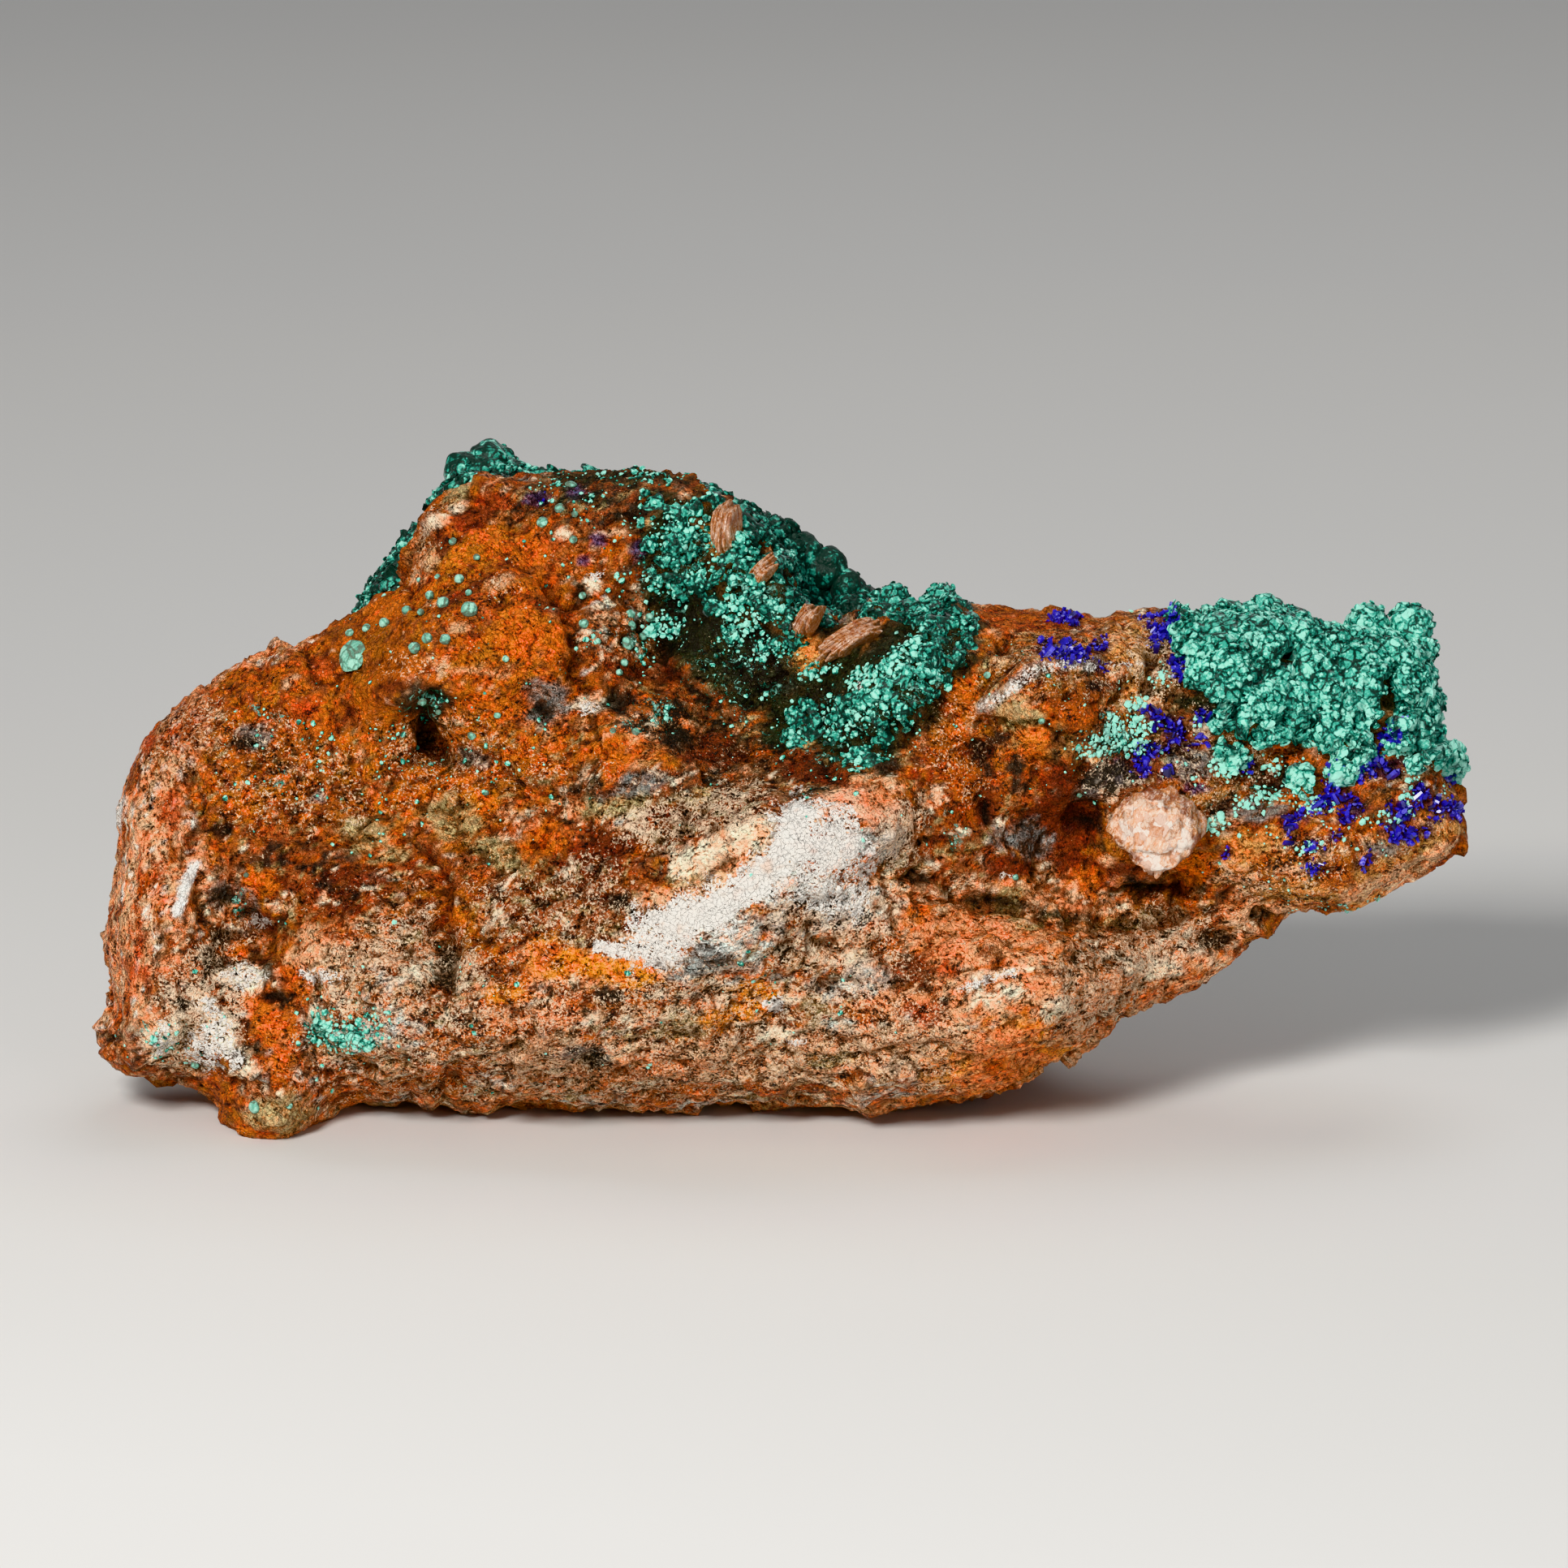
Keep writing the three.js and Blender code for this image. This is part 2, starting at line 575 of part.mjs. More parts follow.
specimen.add(meshFrom("barite_matrix", makeStone(), stoneMaterial));
CRUSTS.forEach((one) => specimen.add(meshFrom(one.name, crust(one), one.material)));
BALLS.forEach((ball, i) => {
  specimen.add(meshFrom(`malachite_ball_${i + 1}`, malachiteBall(ball, i), malachiteMaterial));
});
AZURITE.forEach((cluster, i) => {
  specimen.add(meshFrom(cluster.name, azuriteCluster(cluster, i), azuriteMaterial));
});
specimen.add(meshFrom("barite_nodule", largestBody(bariteNodule(0).subtract(seatSkin)), bariteMaterial));
BLADES.forEach((one) => {
  const crystal = largestBody(bariteBlade(one, 0).subtract(seatSkin));
  specimen.add(meshFrom(one.name, crystal, bariteMaterial));
});

const part = new THREE.Group();
part.add(specimen);
export default part;
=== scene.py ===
# Malachite on barite specimen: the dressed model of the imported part, laid out as a Blender add-on.
# The tables and helpers are in millimetres; the settings, the stage and the written meshes are in metres.

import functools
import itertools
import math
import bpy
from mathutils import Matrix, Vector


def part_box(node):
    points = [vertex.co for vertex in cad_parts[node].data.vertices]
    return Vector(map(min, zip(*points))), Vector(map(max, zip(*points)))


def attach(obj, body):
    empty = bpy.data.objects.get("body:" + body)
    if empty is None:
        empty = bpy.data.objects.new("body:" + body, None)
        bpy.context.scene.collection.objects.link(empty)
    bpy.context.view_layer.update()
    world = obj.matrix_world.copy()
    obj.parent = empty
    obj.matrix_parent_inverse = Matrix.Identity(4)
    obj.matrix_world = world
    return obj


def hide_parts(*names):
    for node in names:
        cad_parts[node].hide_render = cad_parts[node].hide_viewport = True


bl_info = {
    "name": "Malachite on Barite Specimen",
    "version": (1, 0, 0),
    "blender": (4, 5, 0),
    "location": "View3D > Sidebar > Specimen",
    "description": "Grows the stained barite, malachite crusts, azurite and barite crystals on the packed part",
    "category": "Add Mesh",
}

from typing import NamedTuple

import bmesh
import bpy
import numpy as np
from bpy.props import FloatProperty, FloatVectorProperty, IntProperty, PointerProperty
from mathutils import Euler, Vector

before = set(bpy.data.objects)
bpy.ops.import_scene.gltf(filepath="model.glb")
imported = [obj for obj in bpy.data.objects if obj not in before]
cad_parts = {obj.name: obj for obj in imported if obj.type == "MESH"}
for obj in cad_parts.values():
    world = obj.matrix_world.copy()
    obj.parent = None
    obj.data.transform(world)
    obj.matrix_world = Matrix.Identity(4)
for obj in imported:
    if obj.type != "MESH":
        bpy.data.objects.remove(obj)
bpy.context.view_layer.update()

MM = 0.001

# -------- the face of the specimen
# Places on the face are (across, up) in millimetres; out is how far they stand towards the viewer.
FACE_LEAN = math.radians(15)
FACE_ORIGIN = np.array([-0.3, -2.3, 22.1])
ACROSS = np.array([1.0, 0.0, 0.0])
UP = np.array([0.0, math.sin(FACE_LEAN), math.cos(FACE_LEAN)])
OUT = np.array([0.0, -math.cos(FACE_LEAN), math.sin(FACE_LEAN)])
FACE_AXES = np.stack([ACROSS, UP, OUT])


def to_face(points):
    return (points - FACE_ORIGIN) @ FACE_AXES.T


def from_face(points):
    return np.asarray(points, float) @ FACE_AXES + FACE_ORIGIN


def turned(x, y, angle):
    """Places measured along a direction at this angle, and aside from it."""
    c, s = np.cos(angle), np.sin(angle)
    return x * c + y * s, y * c - x * s


# -------- repeatable noise
CORNERS = np.array(list(itertools.product((0, 1), repeat=3)))
NEIGHBOURS = np.array(list(itertools.product((-1, 0, 1), repeat=3)))
LOW_BITS = 0xFFFFFFFF  # keeps the low 32 bits
OCTAVE_SHIFT = 31.7  # moves each octave away from the last
CELL_STRAY = 0.42  # how far a cell's centre strays, as a share of the cell


def scrambled(spots, seed):
    """A repeatable 32-bit number for each whole-number place."""
    x, y, z = (spots[:, i].astype(np.int64) & LOW_BITS for i in range(3))
    h = (x * 0x9E3779B1) ^ (y * 0x85EBCA77) ^ (z * 0xC2B2AE3D) ^ ((seed + 1) * 0x27D4EB2F)
    h &= LOW_BITS
    for shift in (15, 13, 16):
        h = ((h ^ (h >> shift)) * 0x2C1B3C6D) & LOW_BITS
    return h ^ (h >> 14)


def three_shares(numbers):
    """Three numbers from -1 to 1 out of each scrambled number."""
    return np.stack([((numbers >> shift) & 0x3FF) / 511.5 - 1 for shift in (0, 10, 20)], 1)


def wavy(points, size, seed=0):
    """Smooth noise from about -1 to 1, with bumps of this size."""
    spots = points / size
    home = np.floor(spots).astype(np.int64)
    inside = spots - home
    blend = inside**3 * (inside * (inside * 6 - 15) + 10)
    total = np.zeros(len(points))
    for corner in CORNERS:
        slope = three_shares(scrambled(home + corner, seed))
        share = np.prod(np.where(corner, blend, 1 - blend), 1)
        total += share * ((inside - corner) * slope).sum(1)
    return total * 1.5


def rough(points, size, octaves=3, seed=0, fall=0.5):
    """Wavy noise with finer and finer waves on it."""
    total, height = np.zeros(len(points)), 1.0
    for octave in range(octaves):
        total += height * wavy(points + OCTAVE_SHIFT * octave, size * 0.5**octave, seed + 7 * octave)
        height *= fall
    return total


def cells(points, size, seed=0):
    """For each point: distance to the nearest cell's centre, that cell's tilt there and its own number, 0 to 1."""
    spots = points / size
    home = np.floor(spots).astype(np.int64)
    best = np.full(len(points), 9.0)
    tilt, number = np.zeros(len(points)), np.zeros(len(points))
    for step in NEIGHBOURS:
        cell = home + step
        mixed = scrambled(cell, seed)
        away = spots - (cell + 0.5 + CELL_STRAY * three_shares(mixed))
        far = np.sqrt((away**2).sum(1))
        lean = three_shares(scrambled(cell, seed + 50))
        nearer = far < best
        tilt = np.where(nearer, (away * lean).sum(1), tilt)
        number = np.where(nearer, (mixed >> 7 & 0xFF) / 255, number)
        best = np.minimum(best, far)
    return best, tilt, number


def ease(value, low=0.0, high=1.0):
    """0 below low, 1 above high, smooth in between."""
    share = np.clip((value - low) / (high - low), 0, 1)
    return share * share * (3 - 2 * share)


# -------- places on the face
# A spot is (across, up, half across[, half up[, turn in degrees]]); a stroke is ([points], half width);
# a patch is a closed outline of three or more points.
WANDER_SIZES = (1.1, 3.2, 8.0)  # waves in the edges of small, middling and large places
PATCH_REACH = 2.5  # a patch's edge wanders like that of a spot with this radius


def off_stroke(x, y, line):
    """Distance of each place from a line of points."""
    nearest = np.full(len(x), 1e9)
    for (ax, ay), (bx, by) in zip(line, line[1:]):
        dx, dy = bx - ax, by - ay
        along = np.clip(((x - ax) * dx + (y - ay) * dy) / (dx * dx + dy * dy), 0, 1)
        nearest = np.minimum(nearest, np.hypot(x - ax - along * dx, y - ay - along * dy))
    return nearest


def inside_by(x, y, outline):
    """Distance to a closed outline, positive inside it."""
    closed = [*outline, outline[0]]
    crossed = np.zeros(len(x), bool)
    for (ax, ay), (bx, by) in zip(closed, closed[1:]):
        if ay != by:
            crossed ^= ((ay > y) != (by > y)) & (x < (bx - ax) * (y - ay) / (by - ay) + ax)
    far = off_stroke(x, y, closed)
    return np.where(crossed, far, -far)


def sides_of(quads):
    """The sides of squares, as pairs of point numbers."""
    return np.concatenate([quads[:, [i, (i + 1) % 4]] for i in range(4)])


class Skin:
    """A mesh's points in millimetres, with what the painters need to know of each."""

    def __init__(self, mesh):
        flat = np.empty(len(mesh.vertices) * 3)
        mesh.vertices.foreach_get("co", flat)
        self.points = flat.reshape(-1, 3) / MM
        corners = np.empty(len(mesh.loops), np.int64)
        mesh.loops.foreach_get("vertex_index", corners)
        self.quads = corners.reshape(-1, 4)
        self.edges = np.unique(np.sort(sides_of(self.quads), 1), axis=0)
        self.ways = np.bincount(self.edges.ravel(), minlength=len(self.points))
        self.measure()

    def measure(self):
        """Finds each point's direction, its place on the face and how much it belongs to the front."""
        quads, points = self.quads, self.points
        face = np.cross(points[quads[:, 2]] - points[quads[:, 0]], points[quads[:, 3]] - points[quads[:, 1]])
        normals = np.stack([self.gathered(face[:, i]) for i in range(3)], 1)
        self.normals = normals / np.maximum(np.linalg.norm(normals, axis=1, keepdims=True), 1e-9)
        self.across, self.up, self.out = to_face(points).T
        facing = self.smoothed(self.normals, 12) @ OUT
        self.front = ease(facing, -0.25, 0.2) * ease(self.out, -10, -5)

    def gathered(self, per_face):
        return sum(np.bincount(self.quads[:, i], per_face, len(self.points)) for i in range(4))

    def softened(self, values, rounds):
        """Values averaged with their neighbours, this many times."""
        a, b = self.edges.T
        count = len(self.points)
        for _ in range(rounds):
            around = np.bincount(a, values[b], count) + np.bincount(b, values[a], count)
            values = 0.5 * values + 0.5 * around / self.ways
        return values

    def smoothed(self, vectors, rounds):
        return np.stack([self.softened(vectors[:, i], rounds) for i in range(3)], 1)

    # Both are found once, so that places stay put when the points move later.
    @functools.cached_property
    def wander(self):
        """Noise in three sizes that makes the edges of every painted place wander."""
        return [np.stack([rough(self.points, size, 2, seed) for seed in (3, 4)]) for size in WANDER_SIZES]

    @functools.cached_property
    def grit(self):
        """Finer noise that makes those edges ragged."""
        return 0.75 * rough(self.points, 1.6, 3, 9, 0.8)

    def cover(self, place, ragged=0.4, soft=0.3):
        """How much of a spot, stroke or patch covers each point: numbers of the points, and shares."""
        wander, grit = self.wander, self.grit
        patch, stroke = isinstance(place[0], tuple), isinstance(place[0], list)
        if patch:
            line, reach = place, PATCH_REACH
        elif stroke:
            line, reach = place
        else:
            x, y, wide = place[:3]
            high = place[3] if len(place) > 3 else wide
            angle = math.radians(place[4]) if len(place) > 4 else 0
            line, reach = [(x, y)], max(wide, high)
        (left, low), (right, top) = np.min(line, 0) - 2 * reach, np.max(line, 0) + 2 * reach
        near = np.flatnonzero((self.across > left) & (self.across < right) & (self.up > low) & (self.up < top))
        shift = wander[0 if reach < 1.3 else 1 if reach < 5 else 2][:, near] * (0.45 * reach * min(1, ragged * 2))
        across, up = self.across[near] + shift[0], self.up[near] + shift[1]
        if patch:
            depth = inside_by(across, up, place)
            return near, ease(depth + 1.6 * grit[near] * ragged, -0.5 * soft * reach, 0.5 * soft * reach)
        if stroke:
            distance = off_stroke(across, up, line) / reach
        else:
            along, aside = turned(across - x, up - y, angle)
            distance = np.hypot(along / wide, aside / high)
        return near, 1 - ease(distance + grit[near] * ragged, 1 - soft, 1 + soft)

    def covered(self, places, gaps=(), ragged=0.4, soft=0.3, all_round=False):
        """The share of each point under any of the places and not in a gap."""
        total = np.zeros(len(self.points))
        for place in places:
            near, share = self.cover(place, ragged, soft)
            total[near] = np.maximum(total[near], share)
        for gap in gaps:
            near, share = self.cover(gap, ragged, soft)
            total[near] *= 1 - share
        return total if all_round else total * self.front

    def place_on_face(self, across, up):
        """The stone's surface and its direction at a place on the face."""
        far = np.hypot(self.across - across, self.up - up) + 50 * (self.front < 0.3)
        near = np.flatnonzero(far < max(0.9, far.min() + 0.3))
        top = near[self.out[near] > self.out[near].max() - 1.5]
        direction = self.normals[top].mean(0)
        return self.points[top].mean(0), direction / np.linalg.norm(direction)

    def along_fibres(self, angle, length, width):
        """The points' places, shrunk along and aside of the way that the stone's fibres run there."""
        along, aside = turned(self.across, self.up, angle)
        return np.stack([along / length, aside / width, self.out / 1.2], 1)


# -------- relief of the stone
# Hollows, cracks and raised places as (depth or rise in mm, softness, [places]).
HOLLOWS = [
    (1.1, 0.7, [(-24.5, 3.2, 0.7, 1.3, 25), (-24.0, 4.9, 1.6, 1.3, 20)]),
    (0.7, 0.6, [([(-23.6, -9.8), (-22.8, -11.6), (-23.4, -13.6)], 0.8)]),
    (1.1, 0.5, [(-46.2, -17.4, 0.9, 0.6), (15, 9.4, 0.6), (24.8, -7.4, 2.4, 0.7, 5)]),
    (0.9, 0.5, [
        (-11.2, 5.6, 1.3, 0.7, 10), (-14, 13, 0.7, 0.9), (32.8, -9.2, 0.9, 0.6), (30.8, 5.6, 0.8, 0.6),
        (35, 8.7, 0.9, 0.4), (29.8, -10.8, 1.2, 0.7), (20.6, -2.3, 1.6, 1.0, 30), (3, 14.5, 1.8, 2.2, -30),
        (-8.6, 8.2, 1.4, 2.2, -30), (-19, -12.4, 1.2, 0.7),
    ]),
    (0.5, 0.6, [
        (-36.8, 2.6, 0.9, 0.5), (-38.7, -3.2, 1.2, 0.5), (9, -6.4, 1.1, 0.5), (-13, -18.7, 1.1, 0.6), (13.2, 2.2, 0.9),
        (16.2, 0.4, 1.3, 1.0), (0.2, -11.2, 0.8, 0.5), (-34.8, -14.7, 1.2, 0.6), (-21.3, 1.8, 1, 0.7),
        (-30, -8, 3.4, 1.3, -10), (-19, 18.2, 1.2, 0.8),
    ]),
]
CRACKS = [
    (1.0, 0.6, [
        ([(-14.8, 11.2), (-14.0, 8.6), (-14.4, 7.4), (-13, 6.2)], 0.5),
        ([(-16.3, 13.5), (-15.4, 12.5), (-14.4, 12.4)], 0.5),
    ]),
    (0.7, 0.6, [
        ([(-36.6, -9), (-35.2, -10.4), (-34.6, -12.2), (-33, -15.5)], 0.5), ([(13.4, -0.8), (14, -2.6)], 0.4),
        ([(-40.8, 0.5), (-40.2, -2.5), (-41, -4.5), (-39.6, -9)], 0.6),
        ([(9, -7.8), (12.4, -8.6), (15, -8.3), (18, -9.4), (21.6, -9.7), (26, -9.3)], 0.6),
        ([(25.2, 8.6), (24.8, 6.4)], 0.4),
    ]),
    (0.4, 0.7, [
        ([(15, -10.6), (18, -10.4), (22, -11.2)], 0.5), ([(24, -8.3), (27, -9.3), (30, -9.2)], 0.5),
        ([(-25, -1.2), (-22.6, -2.2), (-21.6, -4.2), (-19.6, -5.8)], 0.5), ([(3, -17.3), (6, -18.6), (11, -18)], 0.5),
        ([(19, 4.6), (20.4, 1.6), (20, -1.2)], 0.5),
    ]),
]
RISES = [
    (0.7, 0.6, [([(-40.3, -5.4), (-41.6, -8.9)], 0.5)]),
    (0.6, 0.7, [
        ([(13.4, 5.2), (15.4, 6.4), (16.6, 7.8), (19, 8.1), (21, 8)], 0.4), (-23.8, 18, 0.8, 0.7),
        (-19, 13.8, 1.2, 0.8), (-15.2, 17.3, 0.7), (1.8, -15.2, 1.4, 1.2), (6.4, 11.9, 0.8), (-44, -17.8, 1.1, 1.5),
        (-37, -13.4, 1.4, 1), (-34.5, -12.3, 1, 2.2, 30), (33.5, -10, 1.1, 0.8),
        ([(9.6, -8.9), (14, -9.6), (18.6, -11)], 0.8),
    ]),
    (0.9, 0.8, [
        (-35.6, -22.4, 2.8, 1.6), (-24.6, -21.6, 0.8), (-22.4, -21.8, 0.9), (-20.6, -21.8, 0.8),
        (10.6, 1.2, 1.5, 2.4, 10),
    ]),
    (0.5, 0.6, [(22.4, -4.7, 1.2, 1.3), (26.2, 0, 1, 0.6), (-18, 13, 1.4, 1, -20), (-20.6, 16.4, 1.8, 0.9, 20)]),
    (0.35, 0.8, [([(22.6, 10), (23, 7.4)], 0.55), ([(24, 10.2), (24.3, 7.4)], 0.45)]),
]

# Parts of the stone that stand further out than its CAD form, as (place, (x, y, z) in mm).
PUSHES = [
    ((-35.1, -22.6, 2.9, 2.6), (0, -3.2, 0)), ((40.5, -7.4, 4, 1.2), (0.2, -0.3, -0.7)),
    ((46.2, -4.4, 2.2, 2.2), (0.7, -0.3, -0.5)), ((-44, -18, 2.4, 2.2), (-0.4, -0.4, 0)),
    ((-46.4, -17.4, 1.3, 1.1), (-1.4, -0.5, -0.2)),
]
# Places where the surface is smoother than the rest.
CALM = [
    (-22, 11.4, 8, 5, 20), ([(-12.4, -11.4), (-8, -9.8), (-2, -7), (2, -4.4), (5.8, -5)], 2.0), (5.4, -1.6, 3, 1.8),
    (-10, -13, 4.6, 1.2), ([(-43, 5), (-43.8, -4), (-44.4, -12)], 2.6), (19.4, -3, 2.6, 2.6), (14.6, -10, 4.8, 1.6),
    (-36, -16.6, 2, 2.4), (-5.6, -6.4, 2.4, 1.2), (18.4, 8.6, 7.4, 3.8), (42.6, -5, 6, 1.6, 34),
    ([(13.4, 5.2), (16, 7.6), (21, 8)], 0.6), (11.6, 1.4, 2.2, 3.4),
]
# Places where the stone's fibres run upright or slanted. Elsewhere they are level.
STREAKS_UPRIGHT = [([(-43, 6), (-43.8, -4), (-44.4, -15)], 4.4), (24, 7.6, 4, 5), (-30, 6, 6, 6), (19, -3.4, 4, 4)]
STREAKS_SLANTED = [(8.4, 7.6, 6, 7), (14.4, 5.6, 4, 5), (-23, 13, 8, 8), (42, -4.6, 7, 3, 30), (-3, 12, 5, 7)]
FIBRE_TURNS = (4, 84, 42)  # the way of level, upright and slanted fibres, in degrees

# -------- minerals of the face
# Each zone has a ground mineral and others that are mottled through it, with the share that each covers.
BAND_MIX = {
    "salmon": 0.44, "cream": 0.18, "red_brown": 0.22, "khaki": 0.08, "white_grey": 0.12, "black": 0.14,
    "rust_orange": 0.24,
}
SPECKLED_MIX = {"peach": 0.24, "black": 0.32, "cream": 0.14, "rust": 0.28, "white_grey": 0.05}
RUST_MIX = {"rust_orange": 0.30, "red_brown": 0.26, "ochre": 0.30, "deep_red": 0.12, "peach": 0.03}
DARK_MIX = {"black": 0.30, "red_brown": 0.28, "rust": 0.14, "cream": 0.05, "khaki": 0.10}
LOBE_MIX = {"salmon": 0.42, "peach": 0.30, "red_brown": 0.22, "cream": 0.12, "rust_orange": 0.14, "black": 0.05}
ZONES = [
    ("rust", RUST_MIX, [(-23, 11.5, 13, 10, 22), (-40, 4, 7, 6), (-34, 1, 10, 8, -20)]),
    (
        "ochre", {"rust_orange": 0.40, "red_brown": 0.26, "khaki": 0.10, "peach": 0.04, "deep_red": 0.10},
        [(-36, -0.8, 6.4, 3.6, -12), (-17, 2.2, 9, 3.2, 8), (-26, 0.4, 7, 2.2, 4), (12, 1, 3.6, 4.4)],
    ),
    (
        "red_brown", {"deep_red": 0.28, "rust": 0.22, "black": 0.14, "cream": 0.10, "khaki": 0.12},
        [
            (-30, -7, 7.4, 3.2, -8), (-14, -7.6, 7.6, 3.8, -12), (-6, -2.4, 4.6, 2.2, 8), (21, 2.6, 8, 4.6, -12),
            (30, 2, 8, 4.6), (13, -4, 3.8, 5.2), (9, -6, 3.2, 2.4),
        ],
    ),
    ("umber", DARK_MIX, [(-3.4, 1.6, 9.6, 2.7, 4), (0, 6.4, 5, 2.2, 10)]),
    (
        "umber", {"black": 0.34, "red_brown": 0.26, "green_black": 0.2, "khaki": 0.10, "rust": 0.10},
        [(-3, 7.4, 8.4, 4.4, -14), (3, 4.6, 7, 3, 14), (-9.6, 10.6, 4, 5)],
    ),
    ("tan", BAND_MIX, [
        ([(-34, -17), (-24, -18), (-10, -18.4), (4, -18.4), (12, -17)], 5.6), (-28, -12.6, 7.4, 2.8, -6),
        ([(-12, -14), (0, -12.6), (8, -12)], 3),
    ]),
    ("peach", LOBE_MIX, [([(9, -11), (17, -13), (27, -12.4)], 4.6), (16, -18, 6, 3.4, 24), (24, -13.6, 7, 3, 18)]),
    (
        "peach", {"salmon": 0.46, "tan": 0.30, "red": 0.12, "white_grey": 0.12, "rust": 0.18, "red_brown": 0.12},
        [([(-43, 6), (-44, -2), (-44.2, -9), (-45, -15)], 3.1), (-36, 9.2, 4, 1.1, 30)],
    ),
    (
        "brown", {"red_brown": 0.30, "ochre": 0.30, "khaki": 0.14, "black": 0.08, "tan": 0.14, "rust_orange": 0.16},
        [(17.4, 7.6, 8, 5), (14, 5, 3.4, 3.4)],
    ),
    (
        "umber", {"black": 0.36, "red_brown": 0.26, "khaki": 0.12, "green_black": 0.2, "rust": 0.14},
        [(-12.4, 19.6, 6.8, 2.6, -5), (-9.4, 17, 2.4, 3)],
    ),
    ("red_brown", SPECKLED_MIX, [(-11.4, 10.6, 4, 4), (-38, -14, 3.6, 6.4, 20), (-41.6, -17.6, 3, 2.6)]),
    (
        "amber", {"peach": 0.34, "red_brown": 0.16, "cream": 0.14, "rust_orange": 0.2},
        [(24, 8.4, 2.5, 3.4), (42, -5.4, 6.8, 1.9, 34)],
    ),
    (
        "rust", {"amber": 0.34, "ochre": 0.30, "red_brown": 0.24, "peach": 0.14, "rust_orange": 0.20, "black": 0.06},
        [(34, -5, 7.4, 3, 10), (28, -7.4, 4, 1.6, 8), (38, -2.4, 5, 2.2)],
    ),
    ("brown", {"green_black": 0.5, "red_brown": 0.3, "tan": 0.1}, [(37, 7, 11, 7)]),
]
